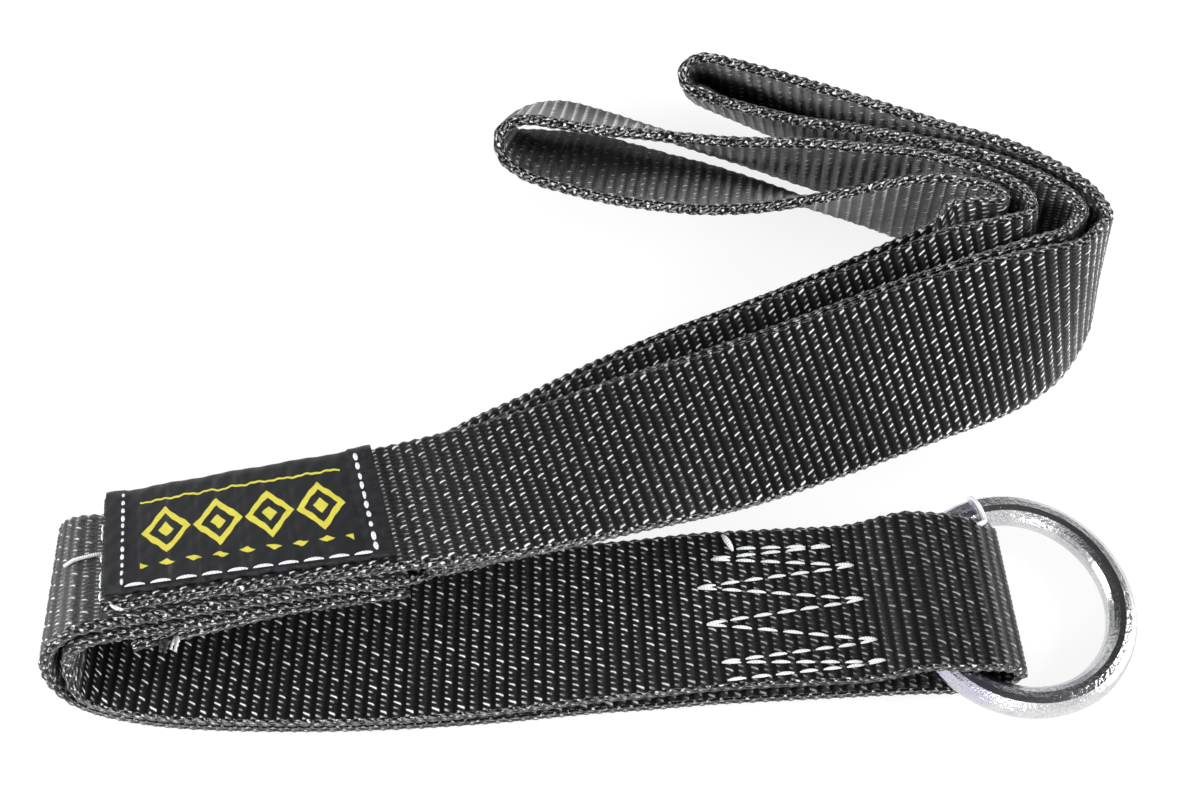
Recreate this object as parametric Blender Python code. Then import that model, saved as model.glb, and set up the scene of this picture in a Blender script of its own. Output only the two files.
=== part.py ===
"""Hanging ab strap, folded flat for storage, modelled in Blender from its driving sizes.

A long loop of heavy webbing holds the upper arms. A shorter webbing strap is doubled through a round steel
ring and sewn between the loop's two ends under a label. Everything lies packed on a table: the ring strap
on the bottom, the loop folded back and forth on top of it and beside it. Lengths are millimetres until the
meshes are made. X runs from the label towards the ring, Z is up, and the origin is on the table under the
middle of the ring strap.
"""

import math
from collections import namedtuple

import bmesh
import bpy
from mathutils import Vector

MM = 0.001

# Webbing
WEBBING_WIDTH = 50.0
WEBBING_THICKNESS = 4.2
SELVAGE_ROUNDING = 1.2
PLY_GAP = 0.5

# Ring
RING_SIDE_PLAY = 2.0
RING_WIRE = 9.0
RING_X = 122.7
RING_Y = 6.6

# Clearance between pieces that touch
SEAT_GAP = 0.3

# Label
LABEL_LENGTH = 78.0
LABEL_THICKNESS = 0.6
LABEL_FROM_CUT_END = 1.0
LABEL_SHORT_OF_LOWER_EDGE = 2.5

# Threads
THREAD_DIAMETER = 0.8
SEAM_GAP = 0.25
LABEL_SEAM_INSET = 5.0
JOIN_SEAM_ROWS = 5
JOIN_SEAM_LENGTH = 66.0
JOIN_SEAM_INSET = 5.0

# Mesh fineness
MOST_STEP = 11.0
MOST_TURN = 9.0
RING_SEGMENTS = 64
WIRE_SEGMENTS = 16
LABEL_STEPS = 8

PITCH = WEBBING_THICKNESS + PLY_GAP
HALF_WIDTH = WEBBING_WIDTH / 2
HALF_THICKNESS = WEBBING_THICKNESS / 2
RING_INNER_RADIUS = HALF_WIDTH + RING_SIDE_PLAY / 2
RING_RADIUS = RING_INNER_RADIUS + RING_WIRE / 2

# A station is a point on the middle of the webbing's width. foot is the height of the webbing's lowest
# point there, azimuth and elevation are the direction from the lower selvage to the upper one, in degrees.
Station = namedtuple("Station", "x y foot azimuth elevation")

# Front layer of the loop, from its cut end under the label into the outermost bend above the ring
FRONT = [
    Station(-139.3, 10.5, 20.5, 104, -25),
    Station(-100, 18.7, 20.3, 105, -22),
    Station(-62.5, 26.3, 20.0, 106, -18),
    Station(-28, 36.3, 18.6, 107.5, -8),
    Station(7, 48.1, 18.2, 107.5, 3),
    Station(37.8, 58.5, 10.5, 109, 15),
    Station(68.7, 69.7, 8.6, 109, 22),
    Station(99.7, 81.9, 7.0, 109, 29),
    Station(116.8, 87.6, 5.0, 109, 38.5),
    Station(130, 92.0, 3.2, 111, 50.5),
    Station(140.5, 96.2, 2.4, 118, 63),
    Station(149.2, 101.8, 1.6, 131, 75),
    Station(155.2, 110.0, 0.9, 149, 80),
]
# Where the other layers of the flat pack start and stop, counted in stations of FRONT
FOLD_AT = 2.45
SECOND_TO = 12.0
THIRD_TO = 8.0
REAR_TO = 8.0
REAR_END = 0.125
# How far each layer behind the front one is pushed up along its own width, at the stations of FRONT
SECOND_RISE = [3, 3, 3, 3, 3, 2.5, 2, 1.8, 1.5, 1.2, 1.2, 0.9, 0.6]
THIRD_RISE = [4, 4, 4, 7, 11, 12, 11.5, 11.5, 11.5]
REAR_RISE = [-1.5, 3, 7, 14.2, 15.5, 15.2, 14, 14, 14.2]
# How many plies each layer lies behind the front one: more where the webbing twists
SECOND_PLIES = [1, 1, 1.05, 1.05, 1.02, 1.02, 1.02, 1.02, 1.03, 1.07, 1.16, 1.34, 1.58]
THIRD_PLIES = [2, 2, 2.05, 2.05, 2.05, 2.05, 2.06, 2.08, 2.14]
REAR_PLIES = [3, 3, 3.09, 3.09, 3.1, 3.1, 3.12, 3.18, 3.45]

OUTER_BEND = [
    Station(157.6, 117, 0.4, 176, 84),
    Station(156.1, 123.4, 0.4, 203, 84),
    Station(152.6, 129.6, 0.4, 217, 84),
    Station(146.4, 136.4, 0.4, 226, 83),
    Station(138.0, 143.8, 0.4, 233, 81),
    Station(127.8, 150.8, 0.6, 239, 78),
]
FAR_LOOP = [
    Station(116.5, 156.8, 1.2, 245, 74),
    Station(92.3, 168.1, 1.6, 248, 71.5),
    Station(67.8, 180.4, 2.5, 252, 66.9),
    Station(44.8, 191.3, 3.4, 256, 62.2),
    Station(35.9, 196.3, 3.6, 259, 58),
    Station(31, 196.0, 3.7, 260, 54.5),
    Station(29.6, 193.2, 2.4, 261, 53),
    Station(31.6, 190.2, 1.1, 261, 52),
    Station(36, 187.7, 0.5, 261, 52),
    Station(49, 181.0, 0.4, 259, 54),
    Station(69, 171, 0.4, 255, 59),
    Station(84, 164.2, 0.4, 252, 65),
    Station(103.6, 155.4, 0.4, 248, 71),
]
SECOND_BEND = [
    Station(116.1, 149.8, 0.4, 246, 75),
    Station(127, 143.8, 0.4, 243, 78),
    Station(136.5, 137.6, 0.4, 238, 80),
    Station(143.3, 131.6, 0.4, 226, 82),
    Station(147.9, 125.6, 0.4, 208, 84),
    Station(149.9, 119.0, 0.4, 185, 85),
]
THIRD_BEND = [
    Station(120.7, 106.4, 0.6, 117, 54),
    Station(129.9, 110.5, 0.5, 124, 68.5),
    Station(135.2, 116.9, 0.4, 157, 80.5),
    Station(135.2, 121.4, 0.4, 184, 84),
    Station(133.8, 127.0, 0.4, 208, 84),
    Station(129.6, 132.8, 0.4, 228, 82),
    Station(123, 137.8, 0.4, 240, 80),
]
NEAR_LOOP = [
    Station(113.5, 143.2, 0.6, 246, 77),
    Station(102, 148.2, 0.8, 250, 74),
    Station(84, 152.8, 1, 256, 70),
    Station(67, 157.2, 1.6, 258, 65),
    Station(47, 161.4, 3.6, 262, 57),
    Station(34, 163.8, 5.5, 264, 53),
    Station(14, 169.3, 7, 266, 47.5),
    Station(0, 174.0, 7, 267, 43.5),
    Station(-14, 178.0, 7, 268, 42),
    Station(-25, 177.8, 6.0, 268, 45),
    Station(-31.3, 174.4, 4.0, 267.5, 45),
    Station(-31, 170.2, 1.9, 267, 41),
    Station(-24, 168.6, 0.6, 265, 34.5),
    Station(-4.3, 165.4, 0.4, 264, 28.5),
    Station(9, 161.2, 0.4, 264, 29.3),
    Station(22, 157, 0.4, 263, 32),
    Station(35, 153.3, 0.4, 262, 35),
    Station(53, 148, 0.4, 261, 43),
    Station(69, 143.6, 0.4, 258, 53),
    Station(86, 140.6, 0.4, 254, 64),
    Station(99, 138.4, 0.4, 249, 73),
]
INNER_BEND = [
    Station(108.5, 136.6, 0.4, 247, 78),
    Station(117.0, 133.2, 0.4, 236, 81),
    Station(123.6, 129.0, 0.4, 214, 84),
    Station(126.8, 125.0, 0.4, 190, 84.5),
    Station(126.5, 122.2, 0.4, 168, 82.5),
    Station(123.5, 120.3, 0.4, 146, 76.5),
    Station(116.6, 115.8, 0.4, 119, 58),
]

# Ring strap: x, y and height of the middle of its outer ply round the left bend, with its direction across
LEFT_BEND = [
    (-147.0, 6.6, 28.1, 102, -23),
    (-152.2, 5.7, 24.8, 99, -19),
    (-155.4, 5.0, 19.8, 97, -15),
    (-156.3, 4.2, 13.8, 95, -11),
    (-154.6, 3.0, 8.1, 93, -6),
    (-150.6, 1.4, 4.2, 91, -1.5),
    (-144.5, -0.5, 2.55, 90, 0),
]
LEFT_BEND_SPACING = [5.0, 5.4, 5.8, 5.8, 5.4, 5.0, 4.7]
UNDER_LABEL_TO = 2.07
UNDER_LABEL_RISE = -1.2
# Middle of the ring strap's lower ply on the table, how far the upper ply lies beside it, and the
# direction across both
STRAP_LINE = [
    (-134, -2.8, 0, 89.5),
    (-120, -4.6, 0, 89.5),
    (-90, -5.6, 0, 90),
    (-60, -5.0, 0, 90.5),
    (-30, -3.0, 0.5, 91),
    (0, 0, 1.4, 92),
    (12, 0.8, 1.8, 92.5),
    (30, 2.0, 2.2, 93.5),
    (60, 3.7, 2.3, 94.5),
    (90, 5.2, 1.6, 94.5),
    (RING_X, RING_Y, 0.2, 94.5),
]
# Fold inside the ring: distance before the ring's centre, and height above the ply on the table
FOLD_UNDER = [(22.0, 0.15), (17.0, 0.02), (12.0, 0.15), (8.0, 0.8)]
FOLD_TURN = [(5.0, 2.8), (4.0, 5.5), (5.2, 8.5)]
# The ply over the ring: distance before the ring's centre, and height above resting on its wire
FOLD_OVER = [(8.8, -1.6), (13.2, 0.0), (18.5, 0.1), (25.0, 0.2), (31.0, 0.1), (36.5, -2.72)]
# And down again: height above lying on the lower ply
FOLD_DOWN = [(42.5, 3.4), (49.5, 0.9)]
# The strap's edges draw in where it turns round inside the ring
DRAWN_IN = 0.06
DRAWN_IN_REACH = 24.0
# Height kept in hand for the shallow dips between the lower ply's knots
DIP = 0.06
# The seam beside the ring lifts the lower ply by its stitches
SEAM_LIFT = 1.1
SEAM_LIFT_FROM = 24.0
SEAM_LIFT_TO = 96.0

# Zigzag seam: its corners as distances before the ring's centre and towards the far edge
ZIGZAG = [
    (83.0, 23.3),
    (82.0, 19.5),
    (52.0, 18.6),
    (90.0, 15.2),
    (45.7, 10.8),
    (94.4, 6.3),
    (44.8, -0.2),
    (92.7, -5.3),
    (43.0, -13.2),
    (89.7, -17.3),
    (41.6, -19.8),
    (88.8, -22.8),
]

Frame = namedtuple("Frame", "place along across out")


def direction(azimuth, elevation):
    a = math.radians(azimuth)
    e = math.radians(elevation)
    return Vector((math.cos(e) * math.cos(a), math.cos(e) * math.sin(a), math.sin(e)))


def knot(station):
    """The station's centre point and its direction across the webbing."""
    tilt = math.radians(station.elevation)
    rise = HALF_WIDTH * abs(math.sin(tilt)) + HALF_THICKNESS * math.cos(tilt)
    centre = Vector((station.x, station.y, station.foot + rise))
    return centre, direction(station.azimuth, station.elevation)


def square_to(across, along):
    return (across - along * across.dot(along)).normalized()


def between(values, position):
    """Value at a position counted in entries, on straight lines between them."""
    n = min(int(position), len(values) - 2)
    return values[n] + (values[n + 1] - values[n]) * (position - n)


def layer(front, plies, rises, first, last):
    """Knots of the layer that lies that many plies behind the front one, from station first to last."""
    count = max(1, round(abs(last - first) * 3))
    found = []
    for n in range(count + 1):
        position = first + (last - first) * n / count
        f = front.at_knot(position)
        place = f.place - f.out * between(plies, position) * PITCH + f.across * between(rises, position)
        found.append((place, f.across))
    return found


def u_turn(start, end, ahead, turn_points=7, bulge=1.12, further=1.2):
    """Knots of a sharp fold that goes on ahead from start, swells a little and comes back to end."""
    (a, across_a), (b, across_b) = start, end
    middle = (a + b) / 2
    side = (a - b) / 2
    across = (across_a + across_b).normalized()
    forward = square_to(square_to(ahead, across), side.normalized()) * side.length
    knots = []
    for n in range(turn_points):
        angle = math.pi * n / (turn_points - 1)
        reach = forward * (bulge * math.sin(angle) + further)
        knots.append((middle + side * bulge * math.cos(angle) + reach, across))
    return knots


def spline(knots_at, values, position):
    """Centripetal spline through values; knots_at holds the places that set its spacing."""
    n = min(int(position), len(knots_at) - 2)
    t = position - n
    last = len(knots_at) - 1
    p1, p2 = knots_at[n], knots_at[n + 1]
    v1, v2 = values[n], values[n + 1]
    p0, v0 = (knots_at[n - 1], values[n - 1]) if n > 0 else (p1 * 2 - p2, v1 * 2 - v2)
    p3, v3 = (knots_at[n + 2], values[n + 2]) if n + 2 <= last else (p2 * 2 - p1, v2 * 2 - v1)
    d0 = (p1 - p0).length ** 0.5
    d1 = (p2 - p1).length ** 0.5
    d2 = (p3 - p2).length ** 0.5
    m1 = ((v1 - v0) / d0 - (v2 - v0) / (d0 + d1) + (v2 - v1) / d1) * d1
    m2 = ((v2 - v1) / d1 - (v3 - v1) / (d1 + d2) + (v3 - v2) / d2) * d1
    a = (v1 - v2) * 2 + m1 + m2
    b = (v2 - v1) * 3 - m1 * 2 - m2
    return ((a * t + b) * t + m1) * t + v1


class Ribbon:
    """A length of webbing along knots: frames at any distance along it, and its solid."""

    def __init__(self, knots, samples_per_knot=24):
        points = [p for p, _ in knots]
        acrosses = [w for _, w in knots]
        count = (len(knots) - 1) * samples_per_knot
        positions = [n / samples_per_knot for n in range(count + 1)]
        places = [spline(points, points, position) for position in positions]
        self.samples_per_knot = samples_per_knot
        self.frames = []
        self.distances = [0.0]
        for n, place in enumerate(places):
            before = places[max(n - 1, 0)]
            after = places[min(n + 1, count)]
            along = (after - before).normalized()
            across = spline(points, acrosses, positions[n]).normalized()
            self.frames.append(Frame(place, along, across, along.cross(across).normalized()))
            if n:
                self.distances.append(self.distances[-1] + (place - before).length)
        self.length = self.distances[-1]
        self.drawn_in_at = None

    def share_of_width(self, distance):
        """How wide the webbing is there: a little less where it is drawn in."""
        if self.drawn_in_at is None or abs(distance - self.drawn_in_at) > DRAWN_IN_REACH:
            return 1.0
        away = (distance - self.drawn_in_at) / DRAWN_IN_REACH
        return 1.0 - DRAWN_IN * (1 + math.cos(math.pi * away)) / 2

    def at_knot(self, position):
        """Frame at a position counted in knots."""
        return self.frames[round(position * self.samples_per_knot)]

    def frame(self, distance):
        """Frame at a distance along the webbing, between the nearest samples."""
        distance = min(max(distance, 0.0), self.length)
        low, high = 0, len(self.distances) - 1
        while high - low > 1:
            middle = (low + high) // 2
            if self.distances[middle] > distance:
                high = middle
            else:
                low = middle
        share = (distance - self.distances[low]) / (self.distances[high] - self.distances[low])
        a, b = self.frames[low], self.frames[high]
        place = a.place.lerp(b.place, share)
        along = a.along.lerp(b.along, share).normalized()
        across = a.across.lerp(b.across, share).normalized()
        return Frame(place, along, across, along.cross(across).normalized())

    def point(self, distance, across, height):
        f = self.frame(distance)
        return f.place + f.across * across * self.share_of_width(distance) + f.out * height

    def steps(self, start, end):
        """Distances for the rings of a mesh: close together where the webbing turns or twists."""
        chosen = [start]
        last = self.frame(start)
        distance = start
        while distance < end:
            distance = min(distance + 0.5, end)
            here = self.frame(distance)
            turned = math.degrees(max(here.along.angle(last.along), here.across.angle(last.across)))
            if turned > MOST_TURN or distance - chosen[-1] > MOST_STEP or distance == end:
                chosen.append(distance)
                last = here
        return chosen


def webbing_outline():
    """Cross-section of the webbing as (across, height) pairs, going round it."""
    flat = HALF_WIDTH - SELVAGE_ROUNDING
    side = HALF_THICKNESS - SELVAGE_ROUNDING * 0.75
    third = flat / 3
    top = [(flat, HALF_THICKNESS), (third, HALF_THICKNESS), (-third, HALF_THICKNESS), (-flat, HALF_THICKNESS)]
    bottom = [(-a, -h) for a, h in top]
    return [(HALF_WIDTH, side)] + top + [(-HALF_WIDTH, side), (-HALF_WIDTH, -side)] + bottom + [(HALF_WIDTH, -side)]


def material(name, colour, roughness, metallic=0.0):
    made = bpy.data.materials.new(name)
    made.use_nodes = True
    shader = made.node_tree.nodes["Principled BSDF"]
    shader.inputs["Base Color"].default_value = (*colour, 1)
    shader.inputs["Roughness"].default_value = roughness
    shader.inputs["Metallic"].default_value = metallic
    made.diffuse_color = (*colour, 1)
    return made


def add_object(name, mesh_builder, surface, sharp_degrees=35):
    """Object from a bmesh in millimetres, with its faces pointing out and smooth shading."""
    bmesh.ops.triangulate(mesh_builder, faces=[f for f in mesh_builder.faces if len(f.verts) > 4])
    bmesh.ops.recalc_face_normals(mesh_builder, faces=mesh_builder.faces)
    bmesh.ops.scale(mesh_builder, vec=(MM, MM, MM), verts=mesh_builder.verts)
    mesh = bpy.data.meshes.new(name)
    mesh_builder.to_mesh(mesh)
    mesh_builder.free()
    mesh.shade_smooth()
    mesh.set_sharp_from_angle(angle=math.radians(sharp_degrees))
    made = bpy.data.objects.new(name, mesh)
    bpy.context.scene.collection.objects.link(made)
    mesh.materials.append(surface)
    return made


def loft(rings):
    """Closed tube through rings of points, with flat end caps."""
    builder = bmesh.new()
    rows = [[builder.verts.new(p) for p in ring] for ring in rings]
    size = len(rows[0])
    for a, b in zip(rows, rows[1:]):
        for n in range(size):
            m = (n + 1) % size
            builder.faces.new((a[n], a[m], b[m], b[n]))
    builder.faces.new(list(reversed(rows[0])))
    builder.faces.new(rows[-1])
    return builder


def behind(knots, spacing):
    """Knots of a ply that lies behind the given ones, by a spacing for each."""
    found = []
    for n, (place, across) in enumerate(knots):
        before = knots[max(n - 1, 0)][0]
        after = knots[min(n + 1, len(knots) - 1)][0]
        out = (after - before).cross(across).normalized()
        found.append((place + out * spacing[n], across))
    return found


def ring_strap_knots(front):
    """Outer ply from under the label round the bend to the ring, then back as the inner ply."""
    upper_height = HALF_THICKNESS + PITCH

    def on_table(x, height, upper):
        """Knot of the lower or upper ply above the strap's line."""
        n = 0
        while n < len(STRAP_LINE) - 2 and STRAP_LINE[n + 1][0] < x:
            n += 1
        (x0, *start), (x1, *end) = STRAP_LINE[n], STRAP_LINE[n + 1]
        share = (x - x0) / (x1 - x0)
        y, beside, azimuth = (a + (b - a) * share for a, b in zip(start, end))
        place = Vector((x, y + (beside if upper else 0), height + seam_lift(RING_X - x)))
        return place, direction(azimuth, 0)

    over = RING_WIRE / 2 + SEAT_GAP + HALF_THICKNESS
    lower = [on_table(row[0], HALF_THICKNESS + DIP, False) for row in STRAP_LINE[:-1]]
    upper = [on_table(row[0], upper_height, True) for row in STRAP_LINE[:-2]]
    fold = [on_table(RING_X - d, HALF_THICKNESS + h, False) for d, h in FOLD_UNDER]
    fold += [on_table(RING_X - d, HALF_THICKNESS + h, True) for d, h in FOLD_TURN]
    fold += [on_table(RING_X - d, ring_height(d) + over + h - seam_lift(d), True) for d, h in FOLD_OVER]
    fold += [on_table(RING_X - d, upper_height + h, True) for d, h in FOLD_DOWN]
    rise = [UNDER_LABEL_RISE] * len(FRONT)
    outer_top = layer(front, [1] * len(FRONT), rise, UNDER_LABEL_TO, 0)
    inner_top = layer(front, [2] * len(FRONT), rise, UNDER_LABEL_TO, 0)
    bend = [(Vector((x, y, z)), direction(a, e)) for x, y, z, a, e in LEFT_BEND]
    inner_bend = behind([outer_top[-1]] + bend + [lower[0]], [0] + LEFT_BEND_SPACING + [0])[1:-1]
    there = outer_top + bend + lower + fold
    back = upper[::-1] + inner_bend[::-1] + inner_top[::-1]
    return there + back


def ring_height(distance):
    """Height of the ring's middle plane at a distance before the ring's centre."""
    return RING_CENTRE_HEIGHT + distance * RING_SLOPE


def seam_lift(before_ring):
    """How far the seam beside the ring lifts both plies, at a distance before the ring's centre."""
    return SEAM_LIFT if SEAM_LIFT_FROM < before_ring < SEAM_LIFT_TO else 0


# The ring leans on the lower ply where its wire crosses the strap's edges, and touches the table beyond
EDGE_CROSSING = math.sqrt(RING_RADIUS**2 - HALF_WIDTH**2)
HEIGHT_AT_EDGE = WEBBING_THICKNESS + SEAT_GAP + RING_WIRE / 2
RING_SLOPE = (HEIGHT_AT_EDGE - RING_WIRE / 2) / (EDGE_CROSSING + RING_RADIUS)
RING_CENTRE_HEIGHT = HEIGHT_AT_EDGE - EDGE_CROSSING * RING_SLOPE


def shoulder_loop_knots(front):
    second = layer(front, SECOND_PLIES, SECOND_RISE, SECOND_TO, FOLD_AT)
    third = layer(front, THIRD_PLIES, THIRD_RISE, FOLD_AT, THIRD_TO)
    rear = layer(front, REAR_PLIES, REAR_RISE, REAR_TO, REAR_END)
    fold = u_turn(second[-1], third[0], front.at_knot(FOLD_AT).along * -1)
    knots = [knot(s) for s in FRONT + OUTER_BEND + FAR_LOOP + SECOND_BEND]
    knots += second + fold + third
    knots += [knot(s) for s in THIRD_BEND + NEAR_LOOP + INNER_BEND]
    return knots + rear


def make_webbing(name, ribbon, surface):
    outline = webbing_outline()
    rings = [
        [ribbon.point(distance, across, height) for across, height in outline]
        for distance in ribbon.steps(0, ribbon.length)
    ]
    return add_object(name, loft(rings), surface, 50)


def make_ring(surface):
    builder = bmesh.new()
    rows = []
    for n in range(RING_SEGMENTS):
        turn = 2 * math.pi * n / RING_SEGMENTS
        row = []
        for m in range(WIRE_SEGMENTS):
            round_wire = 2 * math.pi * m / WIRE_SEGMENTS
            reach = RING_RADIUS + RING_WIRE / 2 * math.cos(round_wire)
            height = RING_WIRE / 2 * math.sin(round_wire)
            row.append(builder.verts.new((reach * math.cos(turn), reach * math.sin(turn), height)))
        rows.append(row)
    for n, row in enumerate(rows):
        following = rows[(n + 1) % RING_SEGMENTS]
        for m in range(WIRE_SEGMENTS):
            k = (m + 1) % WIRE_SEGMENTS
            builder.faces.new((row[m], following[m], following[k], row[k]))
    ring = add_object("ring", builder, surface, 80)
    ring.location = Vector((RING_X, RING_Y, RING_CENTRE_HEIGHT)) * MM
    ring.rotation_euler = (0, math.atan(RING_SLOPE), 0)
    return ring


def make_thread(name, points, surface, sides=6):
    """Thread as one tube through points."""
    radius = THREAD_DIAMETER / 2
    rings = []
    for n, p in enumerate(points):
        before = points[max(n - 1, 0)]
        after = points[min(n + 1, len(points) - 1)]
        along = (after - before).normalized()
        side = along.cross(Vector((0.05, 0.1, 1))).normalized()
        up = side.cross(along)
        ring = []
        for m in range(sides):
            angle = 2 * math.pi * m / sides
            ring.append(p + side * radius * math.cos(angle) + up * radius * math.sin(angle))
        rings.append(ring)
    return add_object(name, loft(rings), surface, 80)


def seam_points(ribbon, corners, height, spacing=6.0):
    """Points on a ribbon's face along straight seams between (distance, across) corners."""
    points = []
    for (d0, a0), (d1, a1) in zip(corners, corners[1:]):
        count = max(1, round(math.hypot(d1 - d0, a1 - a0) / spacing))
        for n in range(count):
            share = n / count
            points.append(ribbon.point(d0 + (d1 - d0) * share, a0 + (a1 - a0) * share, height))
    points.append(ribbon.point(*corners[-1], height))
    return points


def distance_at(ribbon, x, start, end):
    """Distance along the ribbon, between start and end, where its middle is nearest to x."""
    count = 400
    tries = [start + (end - start) * n / count for n in range(count + 1)]
    return min(tries, key=lambda d: abs(ribbon.frame(d).place.x - x))


def make_zigzag(strap, thread):
    """The two threads of the seam that closes the ring's eye, on the upper and the lower face."""
    seam_height = HALF_THICKNESS + SEAM_GAP + THREAD_DIAMETER / 2
    ring_at = strap.drawn_in_at
    upper = []
    lower = []
    for before_ring, across in ZIGZAG:
        x = RING_X - before_ring
        upper.append((distance_at(strap, x, ring_at, strap.length * 0.78), across))
        lower.append((distance_at(strap, x, strap.length * 0.22, ring_at), across))
    side_up = 1 if strap.frame(upper[0][0]).out.z > 0 else -1
    side_down = -1 if strap.frame(lower[0][0]).out.z > 0 else 1
    make_thread("zigzag_needle_thread", seam_points(strap, upper, side_up * seam_height), thread)
    make_thread("zigzag_bobbin_thread", seam_points(strap, lower, side_down * seam_height), thread)


def make_join_seam(loop, thread):
    """Threads of the zigzag that joins the four webbing ends, over and under the stack."""
    seam_height = HALF_THICKNESS + SEAM_GAP + THREAD_DIAMETER / 2
    reach = (WEBBING_WIDTH - 2 * JOIN_SEAM_INSET) / JOIN_SEAM_ROWS
    corners = []
    for n in range(JOIN_SEAM_ROWS + 1):
        distance = JOIN_SEAM_INSET + (JOIN_SEAM_LENGTH if n % 2 else 0)
        corners.append((distance, -HALF_WIDTH + JOIN_SEAM_INSET + n * reach))
    make_thread("join_needle_thread", seam_points(loop, corners, seam_height), thread)
    under = [(loop.length - distance, across) for distance, across in corners]
    side = -1 if loop.frame(loop.length - JOIN_SEAM_INSET).out.z > 0 else 1
    make_thread("join_bobbin_thread", seam_points(loop, under, side * seam_height), thread)


def label_outline():
    """Label's section across the webbing, as (across, height) pairs: over the seam and round the far edge."""
    on_seam = HALF_THICKNESS + 2 * SEAM_GAP + THREAD_DIAMETER
    on_edge = HALF_THICKNESS + SEAM_GAP
    seam_reach = HALF_WIDTH - JOIN_SEAM_INSET + 1.2
    near = -HALF_WIDTH + LABEL_SHORT_OF_LOWER_EDGE
    inner = HALF_WIDTH + SEAM_GAP
    flange_end = -HALF_THICKNESS - 2 * PITCH
    under = [
        (near, on_edge), (near + 1.4, on_seam), (0, on_seam), (seam_reach, on_seam), (HALF_WIDTH - 1, on_edge),
        (inner, on_edge - 1), (inner, flange_end),
    ]
    over = [(a, h + LABEL_THICKNESS) for a, h in under[:5]]
    return under + [(inner + LABEL_THICKNESS, flange_end), (inner + LABEL_THICKNESS, on_edge)] + over[::-1]


def make_label(loop, surface):
    outline = label_outline()
    distances = [LABEL_FROM_CUT_END + LABEL_LENGTH * n / LABEL_STEPS for n in range(LABEL_STEPS + 1)]
    rings = [[loop.point(d, across, height) for across, height in outline] for d in distances]
    return add_object("label", loft(rings), surface)


def make_label_seam(loop, thread):
    """Threads of the lockstitch down the label's left side, along its near edge and up its right side."""
    on_seam = HALF_THICKNESS + 2 * SEAM_GAP + THREAD_DIAMETER + LABEL_THICKNESS
    seam_height = on_seam + SEAM_GAP + THREAD_DIAMETER / 2
    left = LABEL_FROM_CUT_END + LABEL_SEAM_INSET
    right = LABEL_FROM_CUT_END + LABEL_LENGTH - LABEL_SEAM_INSET
    near = -HALF_WIDTH + LABEL_SHORT_OF_LOWER_EDGE + 3
    far = HALF_WIDTH - JOIN_SEAM_INSET
    corners = [(left, far), (left, near), (right, near), (right, far)]
    make_thread("label_needle_thread", seam_points(loop, corners, seam_height, 10), thread)
    under = [(loop.length - distance, across * 0.7) for distance, across in corners]
    side = -1 if loop.frame(loop.length - LABEL_SEAM_INSET).out.z > 0 else 1
    height = side * (HALF_THICKNESS + 2 * SEAM_GAP + 1.5 * THREAD_DIAMETER + 0.1)
    make_thread("label_bobbin_thread", seam_points(loop, under, height, 10), thread)


def build():
    for old in list(bpy.data.objects):
        bpy.data.objects.remove(old, do_unlink=True)
    webbing = material("webbing", (0.018, 0.019, 0.018), 0.62)
    steel = material("ring_steel", (0.72, 0.74, 0.78), 0.16, 1.0)
    satin = material("label_satin", (0.02, 0.021, 0.024), 0.42)
    thread = material("thread", (0.86, 0.86, 0.88), 0.5)
    front = Ribbon([knot(s) for s in FRONT + OUTER_BEND[:2]])
    loop = Ribbon(shoulder_loop_knots(front))
    strap = Ribbon(ring_strap_knots(front))
    strap.drawn_in_at = max(zip(strap.frames, strap.distances), key=lambda pair: pair[0].place.x)[1]
    make_webbing("shoulder_loop", loop, webbing)
    make_webbing("ring_strap", strap, webbing)
    make_ring(steel)
    make_label(loop, satin)
    make_zigzag(strap, thread)
    make_join_seam(loop, thread)
    make_label_seam(loop, thread)
    print(f"shoulder loop {loop.length:.0f} mm, ring strap {strap.length:.0f} mm")
    return loop, strap


loop_ribbon, strap_ribbon = build()
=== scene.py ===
import math
from bisect import bisect
from collections import namedtuple

import bpy
import numpy as np
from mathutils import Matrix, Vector


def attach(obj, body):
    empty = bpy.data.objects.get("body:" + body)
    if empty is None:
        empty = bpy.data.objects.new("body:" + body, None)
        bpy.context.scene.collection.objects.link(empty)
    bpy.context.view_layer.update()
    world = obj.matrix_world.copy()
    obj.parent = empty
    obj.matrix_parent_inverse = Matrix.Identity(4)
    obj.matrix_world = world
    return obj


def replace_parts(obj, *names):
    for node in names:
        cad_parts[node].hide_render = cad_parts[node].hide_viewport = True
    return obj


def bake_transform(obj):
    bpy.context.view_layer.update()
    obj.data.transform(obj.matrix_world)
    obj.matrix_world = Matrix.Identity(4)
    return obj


# The looks of the hanging ab strap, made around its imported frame. Lengths are millimetres until meshes are
# made. The stations, the ribbon and the layers follow the part's source, so that the woven pieces lie where
# the solids are.

MM = 0.001

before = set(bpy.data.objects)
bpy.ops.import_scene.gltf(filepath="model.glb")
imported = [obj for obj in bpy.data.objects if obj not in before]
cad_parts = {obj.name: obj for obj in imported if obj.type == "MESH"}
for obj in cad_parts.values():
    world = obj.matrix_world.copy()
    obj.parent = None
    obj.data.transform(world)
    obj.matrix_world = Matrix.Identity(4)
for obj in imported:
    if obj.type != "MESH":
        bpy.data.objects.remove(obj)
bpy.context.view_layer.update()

# Webbing, as in the part's source
WEBBING_WIDTH = 50.0
WEBBING_THICKNESS = 4.2
PLY_GAP = 0.5
RING_SIDE_PLAY = 2.0
RING_WIRE = 9.0
RING_X = 122.7
RING_Y = 6.6
SEAT_GAP = 0.3
PITCH = WEBBING_THICKNESS + PLY_GAP
HALF_WIDTH = WEBBING_WIDTH / 2
HALF_THICKNESS = WEBBING_THICKNESS / 2
RING_INNER_RADIUS = HALF_WIDTH + RING_SIDE_PLAY / 2
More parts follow.
